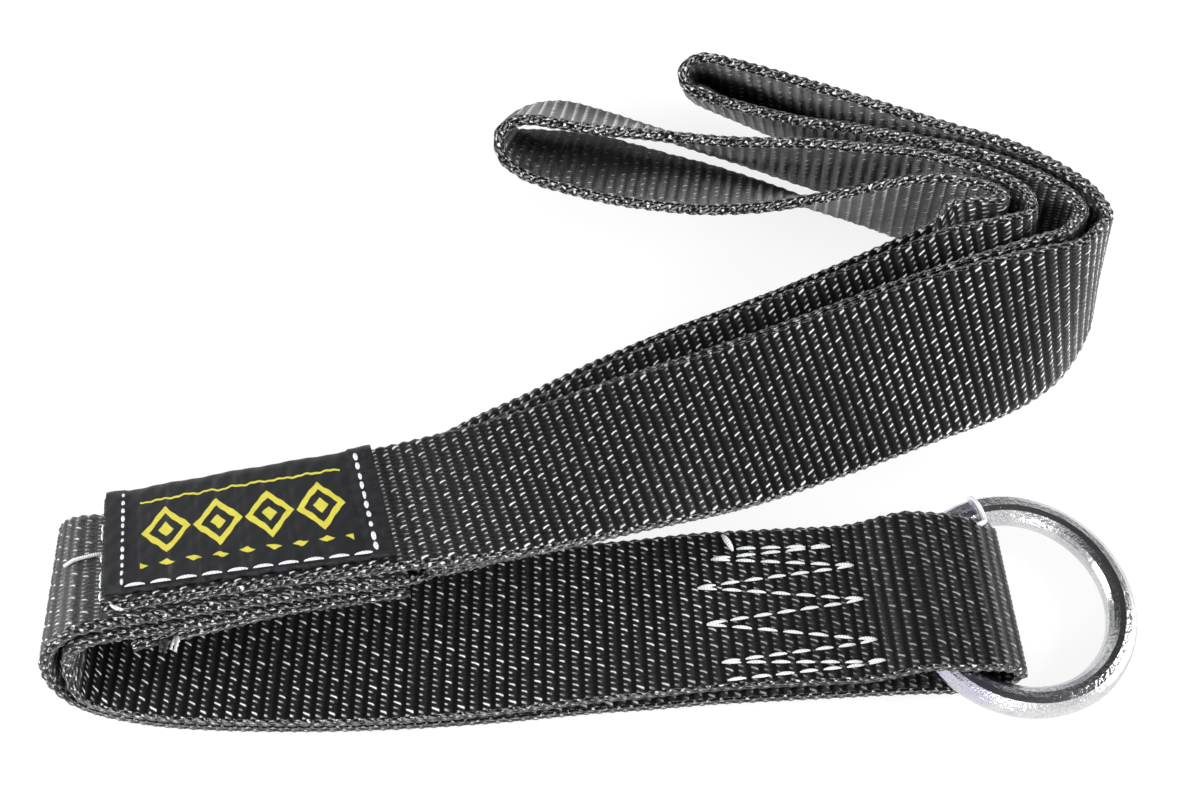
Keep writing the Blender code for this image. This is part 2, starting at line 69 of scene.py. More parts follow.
RING_RADIUS = RING_INNER_RADIUS + RING_WIRE / 2

# Label and seams, as in the part's source
LABEL_LENGTH = 78.0
LABEL_THICKNESS = 0.6
LABEL_FROM_CUT_END = 1.0
LABEL_SHORT_OF_LOWER_EDGE = 2.5
THREAD_DIAMETER = 0.8
SEAM_GAP = 0.25
LABEL_SEAM_INSET = 5.0
JOIN_SEAM_ROWS = 5
JOIN_SEAM_LENGTH = 66.0
JOIN_SEAM_INSET = 5.0

# The label's folds and seam as they look. A row of stitches is given by its pitch and their length
LABEL_ROW_INSET = 1.7
LEFT_ROW = (3.5, 3.35)
NEAR_ROW = (6.9, 5.4)
RIGHT_ROW = (4.4, 4.1)
LABEL_ROW_UNDER = (5.0, 3.2)
LEFT_HEM = 5.6
RIGHT_HEM = 7.4
HEM_RISE = 0.35
HEM_EDGE = 0.5
# Widths over which the satin bends down at its near and its far edge
NEAR_BEND = 2.4
FAR_BEND = 4.5
LABEL_STEPS = 104
LABEL_FACE_STEPS = 60
LABEL_FLAP_STEPS = 14
# Its woven pattern: places from its left side and from its near edge
DIAMOND_AT = (17.0, 24.0)
DIAMOND_HALF_PITCH = 7.25
DOTS_AT = 9.5
LINE_AT = 38.5
PATTERN_FROM = 9.75
PATTERN_TO = 67.75
SATIN_PITCH = 0.42

# A station is a point on the middle of the webbing's width. foot is the height of the webbing's lowest
# point there, azimuth and elevation are the direction from the lower selvage to the upper one, in degrees.
Station = namedtuple("Station", "x y foot azimuth elevation")
Frame = namedtuple("Frame", "place along across out")


def stations(*rows):
    return [Station(*row) for row in rows]


# Front layer of the loop, from its cut end under the label into the outermost bend above the ring
FRONT = stations(
    (-139.3, 10.5, 20.5, 104, -25),
    (-100, 18.7, 20.3, 105, -22),
    (-62.5, 26.3, 20.0, 106, -18),
    (-28, 36.3, 18.6, 107.5, -8),
    (7, 48.1, 18.2, 107.5, 3),
    (37.8, 58.5, 10.5, 109, 15),
    (68.7, 69.7, 8.6, 109, 22),
    (99.7, 81.9, 7.0, 109, 29),
    (116.8, 87.6, 5.0, 109, 38.5),
    (130, 92.0, 3.2, 111, 50.5),
    (140.5, 96.2, 2.4, 118, 63),
    (149.2, 101.8, 1.6, 131, 75),
    (155.2, 110.0, 0.9, 149, 80),
)
# Where the other layers of the flat pack start and stop, counted in stations of FRONT
FOLD_AT = 2.45
SECOND_TO = 12.0
THIRD_TO = 8.0
REAR_TO = 8.0
REAR_END = 0.125
# How far each layer behind the front one is pushed up along its own width, at the stations of FRONT
SECOND_RISE = [3, 3, 3, 3, 3, 2.5, 2, 1.8, 1.5, 1.2, 1.2, 0.9, 0.6]
THIRD_RISE = [4, 4, 4, 7, 11, 12, 11.5, 11.5, 11.5]
REAR_RISE = [-1.5, 3, 7, 14.2, 15.5, 15.2, 14, 14, 14.2]
# How many plies each layer lies behind the front one: more where the webbing twists
SECOND_PLIES = [1, 1, 1.05, 1.05, 1.02, 1.02, 1.02, 1.02, 1.03, 1.07, 1.16, 1.34, 1.58]
THIRD_PLIES = [2, 2, 2.05, 2.05, 2.05, 2.05, 2.06, 2.08, 2.14]
REAR_PLIES = [3, 3, 3.09, 3.09, 3.1, 3.1, 3.12, 3.18, 3.45]

OUTER_BEND = stations(
    (157.6, 117, 0.4, 176, 84),
    (156.1, 123.4, 0.4, 203, 84),
    (152.6, 129.6, 0.4, 217, 84),
    (146.4, 136.4, 0.4, 226, 83),
    (138.0, 143.8, 0.4, 233, 81),
    (127.8, 150.8, 0.6, 239, 78),
)
FAR_LOOP = stations(
    (116.5, 156.8, 1.2, 245, 74),
    (92.3, 168.1, 1.6, 248, 71.5),
    (67.8, 180.4, 2.5, 252, 66.9),
    (44.8, 191.3, 3.4, 256, 62.2),
    (35.9, 196.3, 3.6, 259, 58),
    (31, 196.0, 3.7, 260, 54.5),
    (29.6, 193.2, 2.4, 261, 53),
    (31.6, 190.2, 1.1, 261, 52),
    (36, 187.7, 0.5, 261, 52),
    (49, 181.0, 0.4, 259, 54),
    (69, 171, 0.4, 255, 59),
    (84, 164.2, 0.4, 252, 65),
    (103.6, 155.4, 0.4, 248, 71),
)
SECOND_BEND = stations(
    (116.1, 149.8, 0.4, 246, 75),
    (127, 143.8, 0.4, 243, 78),
    (136.5, 137.6, 0.4, 238, 80),
    (143.3, 131.6, 0.4, 226, 82),
    (147.9, 125.6, 0.4, 208, 84),
    (149.9, 119.0, 0.4, 185, 85),
)
THIRD_BEND = stations(
    (120.7, 106.4, 0.6, 117, 54),
    (129.9, 110.5, 0.5, 124, 68.5),
    (135.2, 116.9, 0.4, 157, 80.5),
    (135.2, 121.4, 0.4, 184, 84),
    (133.8, 127.0, 0.4, 208, 84),
    (129.6, 132.8, 0.4, 228, 82),
    (123, 137.8, 0.4, 240, 80),
)
NEAR_LOOP = stations(
    (113.5, 143.2, 0.6, 246, 77),
    (102, 148.2, 0.8, 250, 74),
    (84, 152.8, 1, 256, 70),
    (67, 157.2, 1.6, 258, 65),
    (47, 161.4, 3.6, 262, 57),
    (34, 163.8, 5.5, 264, 53),
    (14, 169.3, 7, 266, 47.5),
    (0, 174.0, 7, 267, 43.5),
    (-14, 178.0, 7, 268, 42),
    (-25, 177.8, 6.0, 268, 45),
    (-31.3, 174.4, 4.0, 267.5, 45),
    (-31, 170.2, 1.9, 267, 41),
    (-24, 168.6, 0.6, 265, 34.5),
    (-4.3, 165.4, 0.4, 264, 28.5),
    (9, 161.2, 0.4, 264, 29.3),
    (22, 157, 0.4, 263, 32),
    (35, 153.3, 0.4, 262, 35),
    (53, 148, 0.4, 261, 43),
    (69, 143.6, 0.4, 258, 53),
    (86, 140.6, 0.4, 254, 64),
    (99, 138.4, 0.4, 249, 73),
)
INNER_BEND = stations(
    (108.5, 136.6, 0.4, 247, 78),
    (117.0, 133.2, 0.4, 236, 81),
    (123.6, 129.0, 0.4, 214, 84),
    (126.8, 125.0, 0.4, 190, 84.5),
    (126.5, 122.2, 0.4, 168, 82.5),
    (123.5, 120.3, 0.4, 146, 76.5),
    (116.6, 115.8, 0.4, 119, 58),
)

# Ring strap: x, y and height of the middle of its outer ply round the left bend, with its direction across
LEFT_BEND = [
    (-147.0, 6.6, 28.1, 102, -23),
    (-152.2, 5.7, 24.8, 99, -19),
    (-155.4, 5.0, 19.8, 97, -15),
    (-156.3, 4.2, 13.8, 95, -11),
    (-154.6, 3.0, 8.1, 93, -6),
    (-150.6, 1.4, 4.2, 91, -1.5),
    (-144.5, -0.5, 2.55, 90, 0),
]
LEFT_BEND_SPACING = [5.0, 5.4, 5.8, 5.8, 5.4, 5.0, 4.7]
UNDER_LABEL_TO = 2.07
UNDER_LABEL_RISE = -1.2
# Middle of the ring strap's lower ply on the table, how far the upper ply lies beside it, and the
# direction across both
STRAP_LINE = [
    (-134, -2.8, 0, 89.5),
    (-120, -4.6, 0, 89.5),
    (-90, -5.6, 0, 90),
    (-60, -5.0, 0, 90.5),
    (-30, -3.0, 0.5, 91),
    (0, 0, 1.4, 92),
    (12, 0.8, 1.8, 92.5),
    (30, 2.0, 2.2, 93.5),
    (60, 3.7, 2.3, 94.5),
    (90, 5.2, 1.6, 94.5),
    (RING_X, RING_Y, 0.2, 94.5),
]
# Fold inside the ring: distance before the ring's centre, and height above the ply on the table
FOLD_UNDER = [(22.0, 0.15), (17.0, 0.02), (12.0, 0.15), (8.0, 0.8)]
FOLD_TURN = [(5.0, 2.8), (4.0, 5.5), (5.2, 8.5)]
# The ply over the ring: distance before the ring's centre, and height above resting on its wire
FOLD_OVER = [(8.8, -1.6), (13.2, 0.0), (18.5, 0.1), (25.0, 0.2), (31.0, 0.1), (36.5, -2.72)]
# And down again: height above lying on the lower ply
FOLD_DOWN = [(42.5, 3.4), (49.5, 0.9)]
# The strap's edges draw in where it turns round inside the ring
DRAWN_IN = 0.06
DRAWN_IN_REACH = 24.0
# Height kept in hand for the shallow dips between the lower ply's knots
DIP = 0.06
# The seam beside the ring lifts the lower ply by its stitches
SEAM_LIFT = 1.1
SEAM_LIFT_FROM = 24.0
SEAM_LIFT_TO = 96.0

# Zigzag seam: its corners as distances before the ring's centre and towards the far edge. The first ones
# are nearer to the photograph than those in the part's source
ZIGZAG = [
    (82.0, 18.2),
    (52.0, 17.6),
    (90.0, 15.2),
    (45.7, 10.8),
    (94.4, 6.3),
    (44.8, -0.2),
    (92.7, -5.3),
    (43.0, -13.2),
    (89.7, -17.3),
    (41.6, -19.8),
    (88.8, -22.8),
]

# Its first stitch, by the strap's far edge: distance past the first corner, and across, of its two ends
FIRST_STITCH = ((3.0, 23.2), (0.2, 17.6))
# Pitch and length of the stitches in the zigzag and the join seam, and of those on their under sides
ZIGZAG_ROW = (7.1, 5.4)
ZIGZAG_ROW_UNDER = (7.1, 3.9)
JOIN_ROW = (7.1, 5.0)
JOIN_ROW_UNDER = (7.1, 4.0)
# Shape of the stitches on the under sides of both seams
FLAT_STITCH = {"half_width": 0.5, "half_height": 0.35, "proud": 0.2}
# Stitch ends on the shoulder loop's cut end: the middle and the length of each, across the webbing
CUT_END_STITCHES = ((9.5, 2.6), (6.0, 3.4), (-4.5, 2.4), (-12.5, 3.6), (-16.0, 2.2), (-21.0, 3.0))

# The ring's thread end: where it lies over the wire, as an angle round the ring
RING_THREAD_ANGLE = 106.5
# The stitch on the strap's turn: where it starts along the strap and across
TURN_STITCH_AT = (93.0, 3.0)

# Where the ring strap is split, under the pack, into its turn and its eye
STRAP_CUT_X = -50.0
# Shares of the strap's length at either end, round its turn, in which no split and no seam is looked for
CUT_FROM_END = 0.1
ZIGZAG_FROM_END = 0.22

# Weave of the webbing
RIB = 3.6
ROWS_PER_RIB = 4
FACE_YARNS = 28
EDGE_YARNS = 3
COLUMNS_PER_YARN = 2
CORNER_RADIUS = 1.3
RIB_DEPTH = 0.36
YARN_DEPTH = 0.3
EDGE_DEPTH = 0.5
# On the selvages the crests of odd and even yarns lie this share of a rib to either side
EDGE_SHIFT = 0.25
# On the faces, yarns in every other rib lie this many yarns further round
BRICK_SHIFT = 1.5
# The ribs are uneven by this share of a rib
WOBBLE = 0.03
# Map for baking: shares of a strip kept free at its ends and sides, and the corner that the caps take up
STRIP_END = 0.01
STRIP_SIDE = 0.02
BAKED_CAP = 0.004

# Camera: the photograph's place and lens
CAMERA_PLACE = (0.0, -0.1916, 0.452)
CAMERA_LOOKS_DOWN = 59.0
CAMERA_LENS = 49.5
SENSOR_WIDTH = 36.0

# Stage, in metres and degrees. A lamp is its name, place, size and power in watts
WORLD_STRENGTH = 0.55
TABLE_GLOW = 0.84
TABLE_HALF = 3.0
CARD_HALF = (2.2, 1.4)
CARD_PLACE = (0.0, 0.95, 1.15)
CARD_TILT = 20
LAMPS_AIM = (0, 0.05, 0.02)
LAMPS = (
    ("left_lamp", (-1.2, 0.0, 0.42), 0.45, 19.0),
    ("right_lamp", (1.2, 0.05, 0.42), 0.45, 19.0),
    ("front_lamp", (0.1, -1.1, 0.6), 0.4, 6.0),
)


def direction(azimuth, elevation):
    a = math.radians(azimuth)
    e = math.radians(elevation)
    return Vector((math.cos(e) * math.cos(a), math.cos(e) * math.sin(a), math.sin(e)))


def knot(station):
    """The station's centre point and its direction across the webbing."""
    tilt = math.radians(station.elevation)
    rise = HALF_WIDTH * abs(math.sin(tilt)) + HALF_THICKNESS * math.cos(tilt)
    centre = Vector((station.x, station.y, station.foot + rise))
    return centre, direction(station.azimuth, station.elevation)


def square_to(across, along):
    return (across - along * across.dot(along)).normalized()


def between(values, position):
    """Value at a position counted in entries, on straight lines between them."""
    n = min(int(position), len(values) - 2)
    return values[n] + (values[n + 1] - values[n]) * (position - n)


def layer(front, plies, rises, first, last):
    """Knots of the layer that lies that many plies behind the front one, from station first to last."""
    count = max(1, round(abs(last - first) * 3))
    found = []
    for n in range(count + 1):
        position = first + (last - first) * n / count
        f = front.at_knot(position)
        place = f.place - f.out * between(plies, position) * PITCH + f.across * between(rises, position)
        found.append((place, f.across))
    return found


def u_turn(start, end, ahead, turn_points=7, bulge=1.12, further=1.2):
    """Knots of a sharp fold that goes on ahead from start, swells a little and comes back to end."""
    (a, across_a), (b, across_b) = start, end
    middle = (a + b) / 2
    side = (a - b) / 2
    across = (across_a + across_b).normalized()
    forward = square_to(square_to(ahead, across), side.normalized()) * side.length
    knots = []
    for n in range(turn_points):
        angle = math.pi * n / (turn_points - 1)
        reach = forward * (bulge * math.sin(angle) + further)
        knots.append((middle + side * bulge * math.cos(angle) + reach, across))
    return knots


def spline(knots_at, values, position):
    """Centripetal spline through values; knots_at holds the places that set its spacing."""
    n = min(int(position), len(knots_at) - 2)
    t = position - n
    last = len(knots_at) - 1
    p1, p2 = knots_at[n], knots_at[n + 1]
    v1, v2 = values[n], values[n + 1]
    p0, v0 = (knots_at[n - 1], values[n - 1]) if n > 0 else (p1 * 2 - p2, v1 * 2 - v2)
    p3, v3 = (knots_at[n + 2], values[n + 2]) if n + 2 <= last else (p2 * 2 - p1, v2 * 2 - v1)
    d0 = (p1 - p0).length ** 0.5
    d1 = (p2 - p1).length ** 0.5
    d2 = (p3 - p2).length ** 0.5
    m1 = ((v1 - v0) / d0 - (v2 - v0) / (d0 + d1) + (v2 - v1) / d1) * d1
    m2 = ((v2 - v1) / d1 - (v3 - v1) / (d1 + d2) + (v3 - v2) / d2) * d1
    a = (v1 - v2) * 2 + m1 + m2
    b = (v2 - v1) * 3 - m1 * 2 - m2
    return ((a * t + b) * t + m1) * t + v1


class Ribbon:
    """A length of webbing along knots, with a frame at any distance along it."""

    def __init__(self, knots, samples_per_knot=24):
        points = [p for p, _ in knots]
        acrosses = [w for _, w in knots]
        count = (len(knots) - 1) * samples_per_knot
        positions = [n / samples_per_knot for n in range(count + 1)]
        places = [spline(points, points, position) for position in positions]
        self.samples_per_knot = samples_per_knot
        self.frames = []
        self.distances = [0.0]
        for n, place in enumerate(places):
            before = places[max(n - 1, 0)]
            after = places[min(n + 1, count)]
            along = (after - before).normalized()
            across = spline(points, acrosses, positions[n]).normalized()
            self.frames.append(Frame(place, along, across, along.cross(across).normalized()))
            if n:
                self.distances.append(self.distances[-1] + (place - before).length)
        self.length = self.distances[-1]
        self.drawn_in_at = None

    def share_of_width(self, distance):
        """How wide the webbing is there: a little less where it is drawn in."""
        if self.drawn_in_at is None or abs(distance - self.drawn_in_at) > DRAWN_IN_REACH:
            return 1.0
        away = (distance - self.drawn_in_at) / DRAWN_IN_REACH
        return 1.0 - DRAWN_IN * (1 + math.cos(math.pi * away)) / 2

    def at_knot(self, position):
        """Frame at a position counted in knots."""
        return self.frames[round(position * self.samples_per_knot)]

    def frame(self, distance):
        """Frame at a distance along the webbing, between the nearest samples."""
        distance = min(max(distance, 0.0), self.length)
        high = min(bisect(self.distances, distance), len(self.distances) - 1)
        low = high - 1
        share = (distance - self.distances[low]) / (self.distances[high] - self.distances[low])
        a, b = self.frames[low], self.frames[high]
        place = a.place.lerp(b.place, share)
        along = a.along.lerp(b.along, share).normalized()
        across = a.across.lerp(b.across, share).normalized()
        return Frame(place, along, across, along.cross(across).normalized())

    def point(self, distance, across, height):
        f = self.frame(distance)
        return f.place + f.across * across * self.share_of_width(distance) + f.out * height


def behind(knots, spacing):
    """Knots of a ply that lies behind the given ones, by a spacing for each."""
    found = []
    for n, (place, across) in enumerate(knots):
        before = knots[max(n - 1, 0)][0]
        after = knots[min(n + 1, len(knots) - 1)][0]
        out = (after - before).cross(across).normalized()
        found.append((place + out * spacing[n], across))
    return found


def ring_strap_knots(front):
    """Outer ply from under the label round the bend to the ring, then back as the inner ply."""
    upper_height = HALF_THICKNESS + PITCH

    def on_table(x, height, upper):
        """Knot of the lower or upper ply above the strap's line."""
        n = 0
        while n < len(STRAP_LINE) - 2 and STRAP_LINE[n + 1][0] < x:
            n += 1
        (x0, *start), (x1, *end) = STRAP_LINE[n], STRAP_LINE[n + 1]
        share = (x - x0) / (x1 - x0)
        y, beside, azimuth = (a + (b - a) * share for a, b in zip(start, end))
        place = Vector((x, y + (beside if upper else 0), height + seam_lift(RING_X - x)))
        return place, direction(azimuth, 0)

    over = RING_WIRE / 2 + SEAT_GAP + HALF_THICKNESS
    lower = [on_table(row[0], HALF_THICKNESS + DIP, False) for row in STRAP_LINE[:-1]]
    upper = [on_table(row[0], upper_height, True) for row in STRAP_LINE[:-2]]
    fold = [on_table(RING_X - d, HALF_THICKNESS + h, False) for d, h in FOLD_UNDER]
    fold += [on_table(RING_X - d, HALF_THICKNESS + h, True) for d, h in FOLD_TURN]
    fold += [on_table(RING_X - d, ring_height(d) + over + h - seam_lift(d), True) for d, h in FOLD_OVER]
    fold += [on_table(RING_X - d, upper_height + h, True) for d, h in FOLD_DOWN]
    rise = [UNDER_LABEL_RISE] * len(FRONT)
    outer_top = layer(front, [1] * len(FRONT), rise, UNDER_LABEL_TO, 0)
    inner_top = layer(front, [2] * len(FRONT), rise, UNDER_LABEL_TO, 0)
    bend = [(Vector((x, y, z)), direction(a, e)) for x, y, z, a, e in LEFT_BEND]
    inner_bend = behind([outer_top[-1]] + bend + [lower[0]], [0] + LEFT_BEND_SPACING + [0])[1:-1]
    there = outer_top + bend + lower + fold
    back = upper[::-1] + inner_bend[::-1] + inner_top[::-1]
    return there + back


def ring_height(distance):
    """Height of the ring's middle plane at a distance before the ring's centre."""
    return RING_CENTRE_HEIGHT + distance * RING_SLOPE


def seam_lift(before_ring):
    """How far the seam beside the ring lifts both plies, at a distance before the ring's centre."""
    return SEAM_LIFT if SEAM_LIFT_FROM < before_ring < SEAM_LIFT_TO else 0


# The ring leans on the lower ply where its wire crosses the strap's edges, and touches the table beyond
EDGE_CROSSING = math.sqrt(RING_RADIUS**2 - HALF_WIDTH**2)
HEIGHT_AT_EDGE = WEBBING_THICKNESS + SEAT_GAP + RING_WIRE / 2
RING_SLOPE = (HEIGHT_AT_EDGE - RING_WIRE / 2) / (EDGE_CROSSING + RING_RADIUS)
RING_CENTRE_HEIGHT = HEIGHT_AT_EDGE - EDGE_CROSSING * RING_SLOPE


def shoulder_loop_knots(front):
    second = layer(front, SECOND_PLIES, SECOND_RISE, SECOND_TO, FOLD_AT)
    third = layer(front, THIRD_PLIES, THIRD_RISE, FOLD_AT, THIRD_TO)
    rear = layer(front, REAR_PLIES, REAR_RISE, REAR_TO, REAR_END)
    fold = u_turn(second[-1], third[0], front.at_knot(FOLD_AT).along * -1)
    knots = [knot(s) for s in FRONT + OUTER_BEND + FAR_LOOP + SECOND_BEND]
    knots += second + fold + third
    knots += [knot(s) for s in THIRD_BEND + NEAR_LOOP + INNER_BEND]
    return knots + rear


def distance_at(ribbon, x, start, end):
    """Distance along the ribbon, between start and end, where its middle is nearest to x."""
    count = 400
    tries = [start + (end - start) * n / count for n in range(count + 1)]
    return min(tries, key=lambda d: abs(ribbon.frame(d).place.x - x))


def set_mesh(name, points, quads):
    """Mesh from points in millimetres and an array of quads."""
    mesh = bpy.data.meshes.new(name)
    points = np.asarray(points, float) * MM
    corners = np.asarray(quads, np.int32).ravel()
    mesh.vertices.add(len(points))
    mesh.vertices.foreach_set("co", points.astype(np.float32).ravel())
    mesh.loops.add(len(corners))
    mesh.loops.foreach_set("vertex_index", corners)
    mesh.polygons.add(len(quads))
    mesh.polygons.foreach_set("loop_start", np.arange(len(quads), dtype=np.int32) * 4)
    mesh.update(calc_edges=True)
    mesh.validate()
    mesh.shade_smooth()
    return mesh


def link_new(name, data):
    made = bpy.data.objects.new(name, data)
    bpy.context.scene.collection.objects.link(made)
    return made


def add_piece(name, mesh, surface, body):
    """Piece of the strap with its finish. It rides on a body, or on none where the body is None."""
    made = link_new(name, mesh)
    mesh.materials.append(surface)
    if body is not None:
        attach(made, body)
    return made


def set_uv(mesh, name, values):
    mesh.uv_layers.new(name=name).data.foreach_set("uv", np.asarray(values, np.float32).ravel())


def quad_uv(low_u, low_v, high_u, high_v):
    """UV of each quad's four corners, from the values on its four sides."""
    corners = np.broadcast_arrays(low_u, low_v, low_u, high_v, high_u, high_v, high_u, low_v)
    return np.stack(corners, -1).reshape(-1, 8)


def cap_faces(size, first, flip):
    """Flat end of a tube whose ring goes there along one side and back along the other."""
    n = np.arange(size // 2 - 1)
    quads = first + np.stack([n, size - 1 - n, size - 2 - n, n + 1], 1)
    return quads[:, ::-1] if flip else quads


def tube_faces(rows, size, first=0, flip=False):
    """Quads of a closed tube of rings, and how many of them, the last ones, make its two flat ends."""
    row = np.arange(rows - 1)[:, None] * size + first
    here = np.arange(size)[None, :]
    after = (here + 1) % size
    sides = np.stack([row + here, row + after, row + size + after, row + size + here], -1).reshape(-1, 4)
    if flip:
        sides = sides[:, ::-1]
    last = first + (rows - 1) * size
    caps = np.concatenate([cap_faces(size, first, flip), cap_faces(size, last, not flip)])
    return np.concatenate([sides, caps]), len(caps)


def crisp_ends(mesh, ends):
    """Marks the border of each flat end as sharp, so that the shading of the sides runs on to it."""
    pairs = np.zeros(len(mesh.edges) * 2, np.int32)
    mesh.edges.foreach_get("vertices", pairs)
    pairs = pairs.reshape(-1, 2)
    sharp = np.zeros(len(pairs), bool)
    for first, size in ends:
        sharp |= np.all((pairs >= first) & (pairs < first + size), axis=1)
    mesh.attributes.new("sharp_edge", "BOOLEAN", "EDGE").data.foreach_set("value", sharp)


def webbing_profile():
    """The webbing's section, a row for each column: across, height, the way out, and 1 on a selvage."""
    side = HALF_THICKNESS - CORNER_RADIUS
    flat = HALF_WIDTH - CORNER_RADIUS
    arc = math.pi / 2 * CORNER_RADIUS
    edge_length = 2 * arc + 2 * side
    face_columns = FACE_YARNS * COLUMNS_PER_YARN
    edge_columns = EDGE_YARNS * COLUMNS_PER_YARN
    places = []
    for n in range(face_columns):
        places.append((flat - 2 * flat * n / face_columns, HALF_THICKNESS, 0.0, 1.0, 0.0))
    for n in range(edge_columns):
        # Over the upper corner, down the flat side and round the lower corner
        d = edge_length * n / edge_columns
        down = min(max(d - arc, 0.0), 2 * side)
        a = (d - down) / CORNER_RADIUS
        nv, nh = -math.sin(a), math.cos(a)
        places.append((-flat + CORNER_RADIUS * nv, side - down + CORNER_RADIUS * nh, nv, nh, 1.0))
    return np.array(places + [(-v, -h, -nv, -nh, edge) for v, h, nv, nh, edge in places])


def weave_relief(distances, profile):
    """Height of the weave over its plain section, for each distance and column, at most zero."""
    columns = np.arange(len(profile))
    edge = profile[:, 4]
    yarn = columns // COLUMNS_PER_YARN
    shift = np.where(edge > 0, np.where(yarn % 2 == 1, EDGE_SHIFT, -EDGE_SHIFT), 0.0)
    every_other = np.floor(distances / RIB + 0.5)[:, None] % 2
    moved = np.where(edge[None, :] > 0, 0, every_other * round(BRICK_SHIFT * COLUMNS_PER_YARN))
    crest = (columns[None, :] + moved) % COLUMNS_PER_YARN == 1
    phase = distances[:, None] / RIB + shift[None, :]
    wobble = WOBBLE * np.sin(distances[:, None] * 0.31 + yarn[None, :] * 2.1)
    raised = 0.5 + 0.5 * np.cos(2 * math.pi * (phase + wobble))
    depth = np.where(edge > 0, EDGE_DEPTH, RIB_DEPTH)[None, :]
    relief = -depth * (1 - raised)
    on_crest = relief * crest
    beside = (np.roll(on_crest, 1, 1) + np.roll(on_crest, -1, 1)) / 2 - YARN_DEPTH
    return np.where(crest, relief, beside)


def weave_mesh(name, ribbon, spans, mirrored=False):
    """Woven webbing along parts of a ribbon, each a closed body. Mirrored turns the slant of its painted
    glints.
    """
    profile = webbing_profile()
    size = len(profile)
    column = np.arange(size)[None, :]
    low_v = column / COLUMNS_PER_YARN
    high_v = low_v + 1 / COLUMNS_PER_YARN
    if mirrored:
        mirror = 4 * FACE_YARNS + 3 * EDGE_YARNS
        low_v, high_v = mirror - low_v, mirror - high_v
    whole = sum(end - start for start, end in spans)
    strips = max(1, round(math.sqrt(whole / (2 * (WEBBING_WIDTH + WEBBING_THICKNESS)))))
    points, quads, weave, bake, ends = [], [], [], [], []
    first = 0
    done = 0.0
    for start, end in spans:
        rows = int(round((end - start) / RIB * ROWS_PER_RIB)) + 1
        distances = np.linspace(start, end, rows)
        frames = [ribbon.frame(d) for d in distances]
        place = np.array([f.place for f in frames])[:, None, :]
        across = np.array([f.across for f in frames])[:, None, :]
        out = np.array([f.out for f in frames])[:, None, :]
        share = np.array([ribbon.share_of_width(d) for d in distances])
        relief = weave_relief(distances, profile)
        v = profile[None, :, 0] * share[:, None] + profile[None, :, 2] * relief
        h = profile[None, :, 1] + profile[None, :, 3] * relief
        points.append((place + across * v[..., None] + out * h[..., None]).reshape(-1, 3))
        faces, cap_count = tube_faces(rows, size, first)
        quads.append(faces)

        u = distances / RIB
        weave.append(quad_uv(u[:-1, None], low_v, u[1:, None], high_v))
        weave.append(np.tile([0.5, 0.0], (cap_count, 4)))

        # In the map for baking, the webbing lies in strips side by side, and its ends in a corner
        along = (done + distances - start) / whole * strips
        strip = np.minimum(((along[:-1] + along[1:]) / 2).astype(int), strips - 1)
        low_b, high_b = (
            STRIP_END + (1 - 2 * STRIP_END) * np.clip(part - strip, 0, 1)[:, None]
            for part in (along[:-1], along[1:])
        )
        used = 1 - 2 * STRIP_SIDE
        low_c = (strip[:, None] + STRIP_SIDE + used * column / size) / strips
        bake.append(quad_uv(low_b, low_c, high_b, low_c + used / size / strips))
        bake.append(np.tile(np.array([0, 0, 1, 0, 1, 1, 0, 1]) * BAKED_CAP, (cap_count, 1)))
        ends += [(first, size), (first + (rows - 1) * size, size)]
        first += rows * size
        done += end - start
    mesh = set_mesh(name, np.concatenate(points), np.concatenate(quads))
    crisp_ends(mesh, ends)
    set_uv(mesh, "Weave", np.concatenate(weave))
    set_uv(mesh, "OFBake", np.concatenate(bake))
    mesh.uv_layers["Weave"].active_render = True
    return mesh


def at_groove(distance):
    """The nearest distance that lies in a groove between two ribs."""
    return (round(distance / RIB - 0.5) + 0.5) * RIB


def maths(operation, swapped=False):
    """A method that adds a maths node and gives its result."""

    def method(self, *others):
        values = (*others, self) if swapped else (self, *others)
        return self.nodes.math(operation, *values)

    return method


class Value:
    """A number in a node tree, with the usual sums and comparisons."""

    def __init__(self, nodes, socket):
        self.nodes = nodes
        self.socket = socket

    __add__ = maths("ADD")
    __sub__ = maths("SUBTRACT")
    __rsub__ = maths("SUBTRACT", swapped=True)
    __mul__ = maths("MULTIPLY")
    __truediv__ = maths("DIVIDE")
    __mod__ = maths("MODULO")
    __lt__ = maths("LESS_THAN")
    __gt__ = maths("GREATER_THAN")
    __abs__ = maths("ABSOLUTE")


